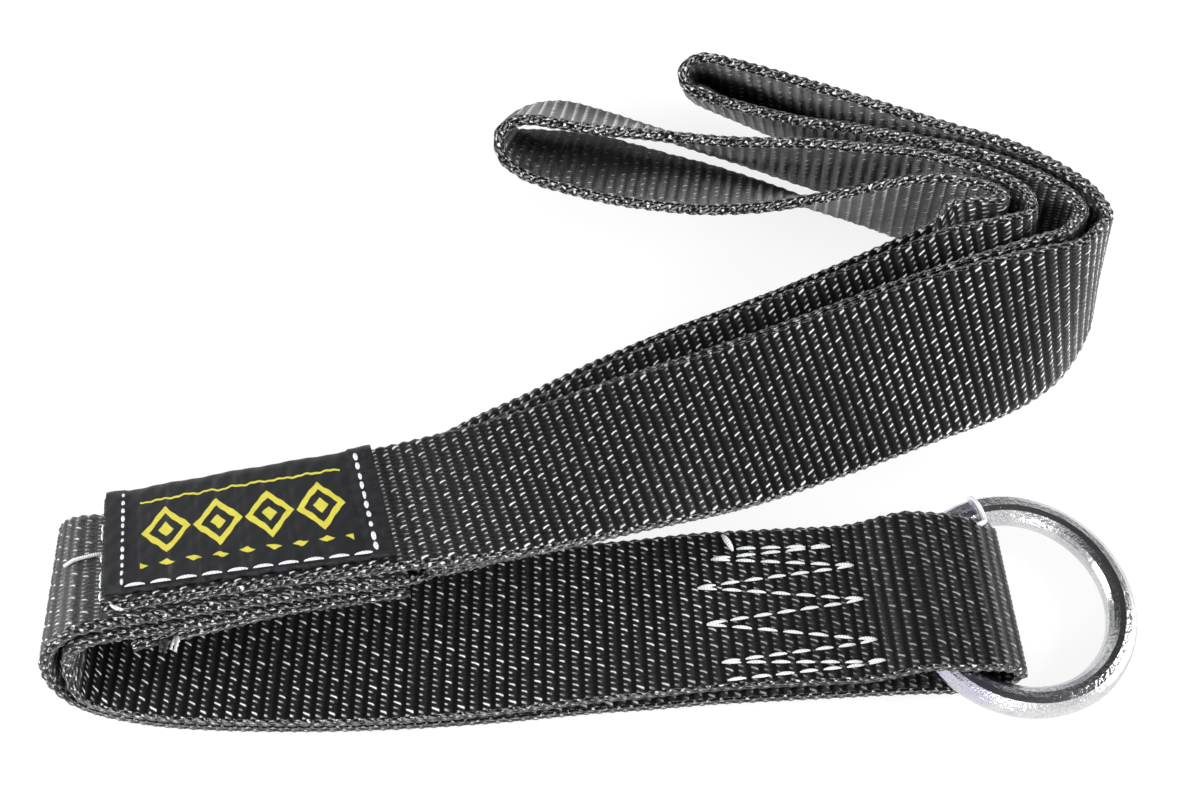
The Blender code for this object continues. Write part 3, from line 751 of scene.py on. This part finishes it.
class Nodes:
    """The node tree of a new material or world, with short calls for what the looks need."""

    def __init__(self, owner):
        owner.use_nodes = True
        self.owner = owner
        self.tree = owner.node_tree
        self.shader = self.tree.nodes.get("Principled BSDF")

    def add(self, kind, **settings):
        node = self.tree.nodes.new(kind)
        for name, value in settings.items():
            setattr(node, name, value)
        return node

    def feed(self, value, socket):
        """Sets a socket to a number or colour, or links it to a value or another socket."""
        if isinstance(value, (int, float, tuple)):
            socket.default_value = value
        else:
            self.tree.links.new(getattr(value, "socket", value), socket)

    def feed_all(self, node, **inputs):
        """Feeds a node's inputs, with _ in the keywords for the spaces in their names."""
        for name, value in inputs.items():
            self.feed(value, node.inputs[name.replace("_", " ")])

    def surface(self, **inputs):
        """Feeds the shader's inputs and gives the material."""
        self.feed_all(self.shader, **inputs)
        return self.owner

    def math(self, operation, *values):
        node = self.add("ShaderNodeMath", operation=operation)
        for value, socket in zip(values, node.inputs):
            self.feed(value, socket)
        return Value(self, node.outputs[0])

    def largest(self, first, *others):
        for other in others:
            first = self.math("MAXIMUM", first, other)
        return first

    def place(self):
        return self.add("ShaderNodeTexCoord").outputs["Object"]

    def x_and_y(self, vector):
        node = self.add("ShaderNodeSeparateXYZ")
        self.feed(vector, node.inputs[0])
        return Value(self, node.outputs[0]), Value(self, node.outputs[1])

    def uv(self, name):
        vector = self.add("ShaderNodeUVMap", uv_map=name).outputs[0]
        return (vector, *self.x_and_y(vector))

    def soft_step(self, value, low, high):
        """0 below low and 1 above high, with a smooth rise between them."""
        node = self.add("ShaderNodeMapRange", interpolation_type="SMOOTHSTEP")
        self.feed_all(node, Value=value, From_Min=low, From_Max=high)
        return Value(self, node.outputs["Result"])

    def between(self, share, low, high):
        """From low where the share is 0 to high where it is 1."""
        node = self.add("ShaderNodeMapRange")
        self.feed_all(node, Value=share, To_Min=low, To_Max=high)
        return Value(self, node.outputs["Result"])

    def noise(self, vector, scale, detail=2.0, roughness=0.5):
        node = self.add("ShaderNodeTexNoise")
        self.feed_all(node, Vector=vector, Scale=scale, Detail=detail, Roughness=roughness)
        return Value(self, node.outputs["Fac"])

    def chances(self, x, y):
        """Two numbers between 0 and 1 that are the same all over the cell numbered x, y."""
        cell = self.add("ShaderNodeCombineXYZ")
        self.feed_all(cell, X=x, Y=y)
        node = self.add("ShaderNodeTexWhiteNoise", noise_dimensions="3D")
        self.feed_all(node, Vector=cell.outputs[0])
        split = self.add("ShaderNodeSeparateColor")
        self.feed_all(split, Color=node.outputs["Color"])
        return Value(self, split.outputs[0]), Value(self, split.outputs[1])

    def mix(self, share, low, high):
        """Colour between low and high."""
        node = self.add("ShaderNodeMix", data_type="RGBA")
        colour_a, colour_b = node.inputs[6], node.inputs[7]
        self.feed(share, node.inputs["Factor"])
        self.feed(low, colour_a)
        self.feed(high, colour_b)
        return node.outputs[2]

    def bump(self, height, distance, strength):
        node = self.add("ShaderNodeBump")
        self.feed_all(node, Distance=distance, Strength=strength, Height=height)
        return node.outputs[0]

    def seen_plainly(self):
        """1 where a surface is seen by the camera, in a mirror or through glass, and else 0."""
        path = self.add("ShaderNodeLightPath")
        kinds = ("Camera", "Glossy", "Transmission")
        return self.largest(*(path.outputs[f"Is {kind} Ray"] for kind in kinds))


def webbing_material():
    """Black nylon: dull floats along the strap and on each rib a row of glossy yarn crests, with painted
    highlights on the crests and painted shade in the grooves.
    """
    n = Nodes(bpy.data.materials.new("black_webbing"))
    vector, u, v = n.uv("Weave")
    place = n.place()

    # a and b are the place in a yarn's crest: along the strap and round its section, from -0.5 to 0.5
    around = FACE_YARNS + EDGE_YARNS
    edge = (v + EDGE_YARNS) % around < EDGE_YARNS
    near_edge = (v + (EDGE_YARNS + 1)) % around < EDGE_YARNS + 2
    every_other = n.math("FLOOR", u + 0.5) % 2
    moved = v + every_other * (BRICK_SHIFT - edge * BRICK_SHIFT)
    yarn = n.math("FLOOR", moved)
    along = u + 0.5 + edge * (yarn % 2 * (2 * EDGE_SHIFT) - EDGE_SHIFT)
    a = n.math("FRACT", along) - 0.5
    b = n.math("FRACT", moved) - 0.5

    # On a face each crest has a painted slanted glint: a dash on every third yarn, and else a dot
    chance, other_chance = n.chances(yarn, n.math("FLOOR", along))
    dash = (yarn % 3 < 0.5) * (other_chance > 0.25)
    wide = 1.0 - n.soft_step(abs(b + a * 0.95) * (1.0 - near_edge * 0.25), 0.08, 0.22)
    tail = 0.06 - chance * 0.2 - dash * 0.18
    long = (1.0 - n.soft_step(a, 0.22, 0.32)) * n.soft_step(a - tail, -0.06, 0.1)
    fade = n.largest(dash, n.between(n.soft_step(a, 0.0, 0.2), 0.4, 1.0))
    crest = wide * long * fade
    strength = n.between(other_chance, 0.45, 1.0) + dash * 0.25
    # The painted highlights are weaker in large patches and near the ring, as if less light fell there
    patchy = n.between(n.soft_step(n.noise(place, 14.0, 2.0, 0.6), 0.42, 0.58), 1.0, 0.7)
    x, y = n.x_and_y(place)
    near_ring = n.soft_step(x, 0.0, 0.06) * (1.0 - n.soft_step(y, 0.028, 0.04))
    on_face = crest * strength * (patchy * n.between(near_ring, 1.0, 0.45))

    # On a selvage the painted glints lie only on the rims between the yarns, in broken specks
    gap = 1.0 - n.soft_step(0.5 - abs(a) + b * 0.18, 0.08, 0.18)
    rim = 1.0 - n.soft_step(0.5 - abs(b), 0.02, 0.14)
    broken = n.soft_step(n.noise(vector, 2.4, 3.0, 0.7), 0.49, 0.57)
    on_edge = n.largest(n.largest(gap, rim * 0.4) * n.between(broken, 0.02, 1.0), on_face * 0.3)
    painted_glint = on_face + edge * (on_edge - on_face)

    base = n.mix(n.noise(place, 38.0), (0.0026, 0.0030, 0.0028, 1), (0.0056, 0.0062, 0.0058, 1))
    # Painted shade: the specular tint keeps the reflection on the rib crowns and damps it in the grooves and
    # on the selvages
    crown = (1.0 - n.soft_step(abs(a), 0.12, 0.42)) * (1.0 - edge)
    strands = n.math("SINE", v * 25.0 + u * 9.0)
    fine = strands * 0.14 + crest * 0.6 + n.noise(vector, 3.0) * 0.5
    # The base colour carries the painted glints as near-white highlights; they also make the crests less
    # rough
    return n.surface(
        Base_Color=n.mix(painted_glint, base, (0.90, 0.91, 0.90, 1)),
        Roughness=n.between(painted_glint, 0.34, 0.18),
        Specular_Tint=n.mix(crown, (0.1, 0.1, 0.11, 1), (0.7, 0.7, 0.7, 1)),
        Specular_IOR_Level=0.5,
        Sheen_Weight=0.25,
        Sheen_Roughness=0.3,
        Normal=n.bump(fine, 0.00038, 0.9),
    )


def steel_material():
    """Bright plated steel with the faint blue and violet clouding of zinc."""
    n = Nodes(bpy.data.materials.new("plated_steel"))
    place = n.place()
    cloud = n.soft_step(n.noise(place, 70.0, 5.0, 0.65), 0.46, 0.66)
    tint = n.soft_step(n.noise(place, 30.0, 3.0, 0.6), 0.50, 0.62)
    grain = n.noise(place, 850.0, 3.0, 0.7)
    speck = n.soft_step(n.noise(place, 2200.0, 2.0, 0.6), 0.46, 0.60)
    colour = n.mix(tint, (0.72, 0.73, 0.74, 1), (0.64, 0.63, 0.76, 1))
    colour = n.mix(cloud * 0.55, colour, (0.46, 0.44, 0.52, 1))
    colour = n.mix(speck * 0.45, colour, (0.40, 0.40, 0.37, 1))
    return n.surface(
        Base_Color=colour,
        Metallic=1.0,
        Roughness=n.between(grain, 0.05, 0.26) + cloud * 0.06,
        Normal=n.bump(grain, 0.0002, 0.9),
    )


def label_material():
    """Black satin with a plain pattern of outlined yellow diamonds woven in."""
    n = Nodes(bpy.data.materials.new("black_satin"))
    _, u, v = n.uv("Cloth")
    place = n.place()
    from_centre = u - DIAMOND_AT[0]
    sideways = n.math("PINGPONG", from_centre, DIAMOND_HALF_PITCH)
    away = sideways / DIAMOND_HALF_PITCH + abs(v - DIAMOND_AT[1]) / 11.0
    outline = (away > 0.66) * (away < 0.96)
    heart = away < 0.3
    sideways = n.math("PINGPONG", from_centre, DIAMOND_HALF_PITCH / 2)
    dots = sideways / 2.8 + abs(v - DOTS_AT) / 1.6 < 0.8
    line = abs(v - LINE_AT) < 0.45
    pattern = n.largest(outline, heart, dots, line) * ((u > PATTERN_FROM) * (u < PATTERN_TO))
    yellow = n.mix(n.noise(place, 700.0), (0.62, 0.55, 0.035, 1), (0.80, 0.74, 0.10, 1))
    black = n.mix(n.noise(place, 90.0, 3.0), (0.0025, 0.003, 0.0045, 1), (0.0065, 0.0072, 0.0100, 1))
    weft, warp = (n.math("SINE", part * (2 * math.pi / SATIN_PITCH)) for part in (v, u))
    cloth = weft * warp * 0.4 + n.noise(place, 220.0, 3.0) * 0.8 + pattern * 0.8
    return n.surface(
        Base_Color=n.mix(pattern, black, yellow),
        Roughness=n.between(n.noise(place, 160.0, 3.0), 0.32, 0.48),
        Specular_IOR_Level=0.25,
        Normal=n.bump(cloth, 0.0003, 0.7),
    )


def thread_material(name, colour, dark):
    """Glossy twisted thread, with painted shade along the grooves of its twist."""
    n = Nodes(bpy.data.materials.new(name))
    _, u, v = n.uv("Twist")
    # share darkens the colour in the twist's grooves as painted shade, and also shapes the bump
    share = n.math("SINE", (u + v) * (2 * math.pi)) * 0.5 + 0.5
    return n.surface(
        Base_Color=n.mix(share, dark, colour),
        Roughness=0.4,
        Sheen_Weight=0.2,
        Normal=n.bump(share, 0.0002, 0.8),
    )


class Threads:
    """Collects twisted tubes and makes one mesh of them."""

    def __init__(self):
        self.points = []
        self.quads = []
        self.twist = []
        self.count = 0

    def tube(self, centres, widths, heights, ups, sides=8, turn=0.8):
        """Tube through centres, with its own half width and half height at each."""
        centres = np.asarray(centres, float)
        along = np.gradient(centres, axis=0)
        along /= np.linalg.norm(along, axis=1)[:, None]
        side = np.cross(along, np.asarray(ups, float))
        side /= np.linalg.norm(side, axis=1)[:, None]
        up = np.cross(side, along)
        angle = 2 * math.pi * np.arange(sides) / sides
        ring = side[:, None, :] * (np.asarray(widths)[:, None, None] * np.cos(angle)[None, :, None])
        ring = ring + up[:, None, :] * (np.asarray(heights)[:, None, None] * np.sin(angle)[None, :, None])
        self.points.append((centres[:, None, :] + ring).reshape(-1, 3))
        faces, cap_count = tube_faces(len(centres), sides, self.count, True)
        self.quads.append(faces)
        steps = np.linalg.norm(np.diff(centres, axis=0), axis=1)
        u = np.concatenate([[0], np.cumsum(steps)]) / turn
        low_v = np.arange(sides)[None, :] / sides
        self.twist.append(quad_uv(u[1:, None], low_v, u[:-1, None], low_v + 1 / sides))
        self.twist.append(np.zeros((cap_count, 8)))
        self.count += len(centres) * sides

    def stitch(self, start, end, up, half_width=0.55, half_height=0.42, proud=0.4, sink=0.12):
        """Lens-shaped stitch that rises out of the cloth at start and goes back in at end."""
        start, end, up = (np.array(p, float) for p in (start, end, up))
        share = np.linspace(0, 1, 9)
        swell = np.sin(math.pi * share)
        lift = -sink + (sink + proud) * swell ** 0.6
        centres = start + (end - start) * share[:, None] + up * lift[:, None]
        size = 0.35 + 0.65 * swell ** 0.8
        self.tube(centres, half_width * size, half_height * size, np.tile(up, (len(share), 1)))

    def loose(self, points, radius):
        """Loose thread on a smooth line through points."""
        knots = [Vector(p) for p in points]
        steps = 8
        centres = [spline(knots, knots, n / steps) for n in range((len(knots) - 1) * steps + 1)]
        radii = [radius] * len(centres)
        self.tube(centres, radii, radii, [(0, 0, 1)] * len(centres), sides=6, turn=0.6)

    def seam(self, ribbon, corners, pitch, stitch, height, side, **shape):
        """Stitches along straight legs between (distance, across) corners on a ribbon's face."""
        margin = (1 - stitch / pitch) / 2
        for (d0, a0), (d1, a1) in zip(corners, corners[1:]):
            count = max(1, round(math.hypot(d1 - d0, a1 - a0) / pitch))
            for n in range(count):
                low = (n + margin) / count
                high = (n + 1 - margin) / count
                start, end = (
                    ribbon.point(d0 + (d1 - d0) * share, a0 + (a1 - a0) * share, side * height)
                    for share in (low, high)
                )
                out = ribbon.frame(d0 + (d1 - d0) * (low + high) / 2).out * side
                self.stitch(start, end, out, **shape)

    def finish(self, name, surface, body):
        mesh = set_mesh(name, np.concatenate(self.points), np.concatenate(self.quads))
        set_uv(mesh, "Twist", np.concatenate(self.twist))
        return add_piece(name, mesh, surface, body)


def make_camera():
    data = bpy.data.cameras.new("photo_camera")
    data.lens = CAMERA_LENS
    data.sensor_width = SENSOR_WIDTH
    data.sensor_fit = "HORIZONTAL"
    data.clip_start = 0.01
    made = link_new("photo_camera", data)
    made.location = CAMERA_PLACE
    made.rotation_euler = (math.radians(90 - CAMERA_LOOKS_DOWN), 0, 0)
    bpy.context.scene.camera = made


def add_lamp(name, place, size, power):
    data = bpy.data.lights.new(name, "AREA")
    data.shape = "SQUARE"
    data.size = size
    data.energy = power
    made = link_new(name, data)
    made.location = place
    made.rotation_euler = (Vector(LAMPS_AIM) - Vector(place)).to_track_quat("-Z", "Y").to_euler()


def add_sheet(name, half_x, half_y, surface, place):
    """Flat rectangle of the stage."""
    mesh = bpy.data.meshes.new(name)
    corners = [(-half_x, -half_y, 0), (half_x, -half_y, 0), (half_x, half_y, 0), (-half_x, half_y, 0)]
    mesh.from_pydata(corners, [], [(0, 1, 2, 3)])
    mesh.materials.append(surface)
    made = link_new(name, mesh)
    made.location = place
    return made


def make_stage():
    """White table that keeps a soft shadow, a white world and a dark card over the object."""
    world = bpy.data.worlds.new("studio")
    bpy.context.scene.world = world
    n = Nodes(world)
    strength = n.between(n.seen_plainly(), WORLD_STRENGTH, 1.0)
    n.feed_all(n.tree.nodes["Background"], Color=(1, 1, 1, 1), Strength=strength)

    n = Nodes(bpy.data.materials.new("white_table"))
    white = n.surface(Base_Color=(0.8, 0.8, 0.8, 1), Roughness=0.9)
    glow = n.add("ShaderNodeEmission")
    n.feed_all(glow, Strength=TABLE_GLOW)
    soft = n.add("ShaderNodeBsdfDiffuse")
    n.feed_all(soft, Color=(0.2, 0.2, 0.2, 1))
    both = n.add("ShaderNodeAddShader")
    pick = n.add("ShaderNodeMixShader")
    n.feed(glow.outputs[0], both.inputs[0])
    n.feed(soft.outputs[0], both.inputs[1])
    n.feed(n.seen_plainly(), pick.inputs[0])
    n.feed(n.shader.outputs[0], pick.inputs[1])
    n.feed(both.outputs[0], pick.inputs[2])
    n.feed(pick.outputs[0], n.tree.nodes["Material Output"].inputs["Surface"])
    table = add_sheet("table", TABLE_HALF, TABLE_HALF, white, (0, 0, -0.0001))

    n = Nodes(bpy.data.materials.new("dark_card"))
    black = n.surface(Base_Color=(0.02, 0.02, 0.022, 1), Roughness=1.0)
    card = add_sheet("dark_card", *CARD_HALF, black, CARD_PLACE)
    card.rotation_euler = (math.radians(CARD_TILT), 0, 0)
    for kind in ("camera", "diffuse", "shadow", "transmission"):
        setattr(card, f"visible_{kind}", False)

    for lamp in LAMPS:
        add_lamp(*lamp)


def ramp(value):
    return min(max(value, 0), 1)


def bell(value, centre, width):
    return math.exp(-(((value - centre) / width) ** 2))


def puckers(value, pitch):
    """How deep a seam draws the satin in: most in the middle of each stitch."""
    return 0.6 + 0.4 * math.cos(value * 2 * math.pi / pitch)


def label_section(a):
    """The label's middle line at a distance from its left side, as (across, height), its marks and hem."""
    on_seam = HALF_THICKNESS + 2 * SEAM_GAP + THREAD_DIAMETER
    on_edge = HALF_THICKNESS + SEAM_GAP
    near = -HALF_WIDTH + LABEL_SHORT_OF_LOWER_EDGE
    flap_end = -HALF_THICKNESS - 2 * PITCH
    from_right = a - LABEL_LENGTH + RIGHT_HEM
    hem = HEM_RISE * (1 - ramp((a - LEFT_HEM) / HEM_EDGE)) + HEM_RISE * ramp(from_right / HEM_EDGE)
    near_here = near + 0.4 * math.sin(a * 0.9) * bell(a, 30, 40) + 0.2 * math.sin(a * 2.3)
    at_side = bell(a, LABEL_SEAM_INSET, 0.9) + bell(a, LABEL_LENGTH - LABEL_SEAM_INSET, 0.9)
    line = []
    marks = []
    for m in range(LABEL_FACE_STEPS + 1):
        v = near_here + (HALF_WIDTH - 0.6 - near_here) * m / LABEL_FACE_STEPS
        rise = math.sin(min(v - near_here, NEAR_BEND) / NEAR_BEND * math.pi / 2)
        far = max(0.0, (v - (HALF_WIDTH - FAR_BEND)) / FAR_BEND)
        h = on_edge + (on_seam - on_edge) * (rise - far**2 * 1.1) + hem
        h -= 0.3 * bell(v, near + LABEL_ROW_INSET, 1.1) * puckers(a, NEAR_ROW[0])
        h -= 0.25 * at_side * puckers(v, RIGHT_ROW[0])
        h += 0.18 * math.sin(a * 0.33 + v * 0.21) * math.sin(v * 0.17 + 1.0)
        h += 0.08 * math.sin(a * 1.1 - v * 0.8)
        h += 0.2 * ramp((from_right + 3) / 3) * math.sin(v * 0.9 + a * 0.25) * math.sin(v * 0.37 + 0.5)
        h += 0.14 * bell(v, near_here + 5, 4) * math.sin(a * 0.8 + 2 * math.sin(a * 0.23))
        line.append((v, h))
        marks.append(v - near_here)
    corner_v, corner_h = line[-1]
    for m in range(1, LABEL_FLAP_STEPS + 1):
        share = m / LABEL_FLAP_STEPS
        h = corner_h - 0.5 + (flap_end - corner_h + 0.5) * share
        line.append((HALF_WIDTH + SEAM_GAP + 0.18 * math.sin(a * 0.4 + share * 5), h))
        marks.append(corner_v - near_here + (corner_h - h))
    return np.array(line), marks, hem


def make_label(loop, surface):
    """Satin label: two hems, a turned near edge, and a flap round the far edge, puckered by its seam."""
    rings = []
    cloth = []
    for n in range(LABEL_STEPS + 1):
        a = LABEL_LENGTH * n / LABEL_STEPS
        bottom, marks, hem = label_section(a)
        slope = np.gradient(bottom, axis=0)
        normal = np.stack([-slope[:, 1], slope[:, 0]], 1)
        normal /= np.linalg.norm(normal, axis=1)[:, None]
        top = bottom + normal * (LABEL_THICKNESS / 2 + hem * 0.5)
        ring = np.concatenate([top, bottom[::-1]])
        marks = np.concatenate([marks, marks[::-1]])
        f = loop.frame(LABEL_FROM_CUT_END + a)
        place, across, out = (np.array(w, float) for w in (f.place, f.across, f.out))
        rings.append(place + across * ring[:, :1] + out * ring[:, 1:])
        cloth.append(np.stack([np.full(len(marks), a), marks], 1))
    quads, _ = tube_faces(len(rings), len(rings[0]), flip=True)
    mesh = set_mesh("satin_label", np.concatenate(rings), quads)
    set_uv(mesh, "Cloth", np.concatenate(cloth)[quads.ravel()])
    return add_piece("satin_label", mesh, surface, "shoulder")


def upper_side(ribbon, distance):
    """1 where the ribbon's front face looks up, and else -1."""
    return 1 if ribbon.frame(distance).out.z > 0 else -1


def make_zigzag(strap, white):
    ring_at = strap.drawn_in_at
    left_out = strap.length * ZIGZAG_FROM_END
    upper = []
    lower = []
    for before_ring, across in ZIGZAG:
        x = RING_X - before_ring
        upper.append((distance_at(strap, x, ring_at, strap.length - left_out), across))
        lower.append((distance_at(strap, x, left_out, ring_at), across))
    first = upper[0][0]
    up = upper_side(strap, first)
    over = Threads()
    over.seam(strap, upper, *ZIGZAG_ROW, HALF_THICKNESS, up)
    ends = [strap.point(first + d, across, up * HALF_THICKNESS) for d, across in FIRST_STITCH]
    over.stitch(*ends, strap.frame(first).out * up, half_width=0.9, proud=0.8)
    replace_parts(over.finish("zigzag_stitches_over", white, "eye"), "zigzag_needle_thread")
    under = Threads()
    down = -upper_side(strap, lower[0][0])
    under.seam(strap, lower, *ZIGZAG_ROW_UNDER, HALF_THICKNESS, down, **FLAT_STITCH)
    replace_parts(under.finish("zigzag_stitches_under", white, "eye"), "zigzag_bobbin_thread")


def make_join_seam(loop, white):
    reach = (WEBBING_WIDTH - 2 * JOIN_SEAM_INSET) / JOIN_SEAM_ROWS
    corners = []
    for n in range(JOIN_SEAM_ROWS + 1):
        distance = JOIN_SEAM_INSET + (JOIN_SEAM_LENGTH if n % 2 else 0)
        corners.append((distance, -HALF_WIDTH + JOIN_SEAM_INSET + n * reach))
    over = Threads()
    over.seam(loop, corners, *JOIN_ROW, HALF_THICKNESS, 1, proud=0.2)
    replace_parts(over.finish("join_stitches_over", white, "shoulder"), "join_needle_thread")
    below = [(loop.length - distance, across) for distance, across in corners]
    down = -upper_side(loop, loop.length - JOIN_SEAM_INSET)
    under = Threads()
    under.seam(loop, below, *JOIN_ROW_UNDER, HALF_THICKNESS, down, **FLAT_STITCH)
    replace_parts(under.finish("join_stitches_under", white, "shoulder"), "join_bobbin_thread")


def make_label_seam(loop, white):
    on_satin = HALF_THICKNESS + 2 * SEAM_GAP + THREAD_DIAMETER + LABEL_THICKNESS / 2
    left = LABEL_FROM_CUT_END + LABEL_SEAM_INSET
    right = LABEL_FROM_CUT_END + LABEL_LENGTH - LABEL_SEAM_INSET
    near = -HALF_WIDTH + LABEL_SHORT_OF_LOWER_EDGE + LABEL_ROW_INSET
    far = HALF_WIDTH - JOIN_SEAM_INSET + 2
    corners = [(left, far), (left, near), (right, near), (right, far)]
    over = Threads()
    for n, (row, half_width) in enumerate(((LEFT_ROW, 0.52), (NEAR_ROW, 0.52), (RIGHT_ROW, 0.7))):
        over.seam(loop, corners[n:n + 2], *row, on_satin, 1, half_width=half_width, sink=0.1, proud=0.3)
    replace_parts(over.finish("label_stitches_over", white, "shoulder"), "label_needle_thread")
    below = [(loop.length - distance, across * 0.7) for distance, across in corners]
    down = -upper_side(loop, loop.length - LABEL_SEAM_INSET)
    under = Threads()
    shape = {"half_width": 0.4, "half_height": 0.3, "proud": 0.2}
    under.seam(loop, below, *LABEL_ROW_UNDER, HALF_THICKNESS, down, **shape)
    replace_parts(under.finish("label_stitches_under", white, "shoulder"), "label_bobbin_thread")


def on_wire(angle, lean, off):
    """Place beside the ring's wire: angle round the ring, lean from outside over the top, in degrees."""
    a, e = math.radians(angle), math.radians(lean)
    reach = RING_WIRE / 2 + off
    radius = RING_RADIUS + reach * math.cos(e)
    x = RING_X + radius * math.cos(a)
    return Vector((x, RING_Y + radius * math.sin(a), ring_height(RING_X - x) + reach * math.sin(e)))


def make_ring_thread(strap, white):
    """Two strands of a thread end that the zigzag seam left lying over the ring's wire."""
    at = strap.drawn_in_at
    top = -HALF_THICKNESS
    over = Threads()
    for turn, rise, far_lean in ((0.0, 0.0, 22), (1.6, 0.3, 12)):
        points = [
            strap.point(at + 10 - turn / 2, 22.2, top + 0.1),
            strap.point(at + 8 - turn / 3, 23.6, top - 0.4),
        ]
        for n, lean in enumerate((140, 118, 92, 66, (66 + far_lean) / 2, far_lean)):
            angle = RING_THREAD_ANGLE + turn + (0.5 - 0.2 * turn) * n
            points.append(on_wire(angle, lean, 0.5 + rise))
        over.loose(points, radius=0.55)
    over.finish("ring_thread_end", white, "eye")


def make_turn_stitch(strap, white):
    """The single stitch that shows on the strap's outer ply, left of the label."""
    steps = 8
    start, across = TURN_STITCH_AT
    points = []
    for n in range(steps + 1):
        lift = 0.55 * min(1, n / 2, (steps - n) / 2)
        points.append(strap.point(start - 1.5 * n, across + 1.6 * (n / steps) ** 1.6, -HALF_THICKNESS - lift))
    stitch = Threads()
    stitch.loose(points, radius=0.62)
    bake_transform(stitch.finish("turn_stitch", white, None))


def make_cut_end_threads(loop, white, dark):
    """Stitch ends on the loop's near cut end, a knot at its edge, and two tufts at the other cut end."""
    ends = Threads()
    first = loop.frame(0.0)
    out = (first.out - first.along).normalized()
    for across, long in CUT_END_STITCHES:
        start = loop.point(0.6, across + long / 2, HALF_THICKNESS - 0.1) - first.along * 0.4
        end = loop.point(0.6, across - long / 2, HALF_THICKNESS - 0.9) - first.along * 0.7
        ends.stitch(start, end, out, half_width=0.5, sink=0.1, proud=0.25)
    low = loop.frame(4.0)
    knot_at = loop.point(4.0, -HALF_WIDTH, 0.4)
    for turn in range(3):
        lean = low.along * (1.6 - turn) + low.out * (0.8 * (turn - 1)) - low.across * 0.5
        ends.stitch(knot_at - lean, knot_at + lean, low.across * -1, half_width=0.6, sink=0.1)
    ends.finish("white_thread_ends", white, "shoulder")

    for name, surface, where, spread in (("white_tuft", white, 12.0, 0.5), ("black_tuft", dark, 8.0, -0.4)):
        tuft = Threads()
        f = loop.frame(loop.length - where)
        root = loop.point(loop.length - where, -HALF_WIDTH + 0.4, 0)
        for n in range(5):
            side = f.along * (0.9 * (n - 2) * 0.45 + spread) + f.out * (0.35 * ((n * 2) % 5 - 2))
            tip = root - f.across * (2.9 + 0.4 * (n % 3)) + side * 1.5 - Vector((0, 0, 0.4))
            tuft.loose([root + side * 0.3, root - f.across * 1.4 + side, tip], radius=0.42)
        tuft.finish(name, surface, "shoulder")


def leftmost(ribbon, start, end):
    """The distance between start and end at which the ribbon's middle line is farthest to the left."""
    pairs = [pair for pair in zip(ribbon.frames, ribbon.distances) if start <= pair[1] <= end]
    return min(pairs, key=lambda pair: pair[0].place.x)[1]


def make_shoulder_loop(loop, webbing):
    third = loop.length / 3
    cuts = [0.0, at_groove(third), at_groove(2 * third), loop.length]
    names = ("shoulder_loop_front", "shoulder_loop_middle", "shoulder_loop_rear")
    for name, start, end in zip(names, cuts, cuts[1:]):
        piece = add_piece(name, weave_mesh(name, loop, [(start, end)]), webbing, "shoulder")
        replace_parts(piece, "shoulder_loop")


def make_ring_strap(strap, webbing):
    """The strap in three pieces: its lower plies and half the turn, its upper plies, and its eye."""
    left_out = strap.length * CUT_FROM_END
    low_cut = at_groove(distance_at(strap, STRAP_CUT_X, left_out, strap.drawn_in_at))
    high_cut = at_groove(distance_at(strap, STRAP_CUT_X, strap.drawn_in_at, strap.length - left_out))
    outer_turn = at_groove(leftmost(strap, 0.0, low_cut))
    inner_turn = at_groove(leftmost(strap, high_cut, strap.length))

    def woven(name, spans, body):
        return add_piece(name, weave_mesh(name, strap, spans, True), webbing, body)

    turn = woven("ring_strap_turn", [(outer_turn, low_cut), (high_cut, inner_turn)], "ring_strap")
    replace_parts(turn, "ring_strap")
    top = woven("ring_strap_top", [(0.0, outer_turn), (inner_turn, strap.length)], None)
    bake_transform(top)
    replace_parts(top, "ring_strap")
    eye = woven("ring_strap_eye", [(low_cut, high_cut)], None)
    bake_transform(eye)
    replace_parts(eye, "ring_strap")


def build():
    webbing = webbing_material()
    # Each thread's second colour is the painted shade in the grooves of its twist
    white = thread_material("white_thread", (0.86, 0.87, 0.88, 1), (0.62, 0.63, 0.66, 1))
    dark = thread_material("black_thread", (0.03, 0.032, 0.03, 1), (0.008, 0.008, 0.008, 1))
    front = Ribbon([knot(s) for s in FRONT + OUTER_BEND[:2]])
    loop = Ribbon(shoulder_loop_knots(front))
    strap = Ribbon(ring_strap_knots(front))
    strap.drawn_in_at = max(zip(strap.frames, strap.distances), key=lambda pair: pair[0].place.x)[1]

    make_shoulder_loop(loop, webbing)
    make_ring_strap(strap, webbing)
    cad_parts["ring"].data.materials.clear()
    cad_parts["ring"].data.materials.append(steel_material())
    label = make_label(loop, label_material())
    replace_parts(label, "label")
    make_zigzag(strap, white)
    make_join_seam(loop, white)
    make_label_seam(loop, white)
    make_ring_thread(strap, white)
    make_turn_stitch(strap, white)
    make_cut_end_threads(loop, white, dark)


bpy.context.scene.view_settings.view_transform = "Standard"
make_camera()
make_stage()
build()
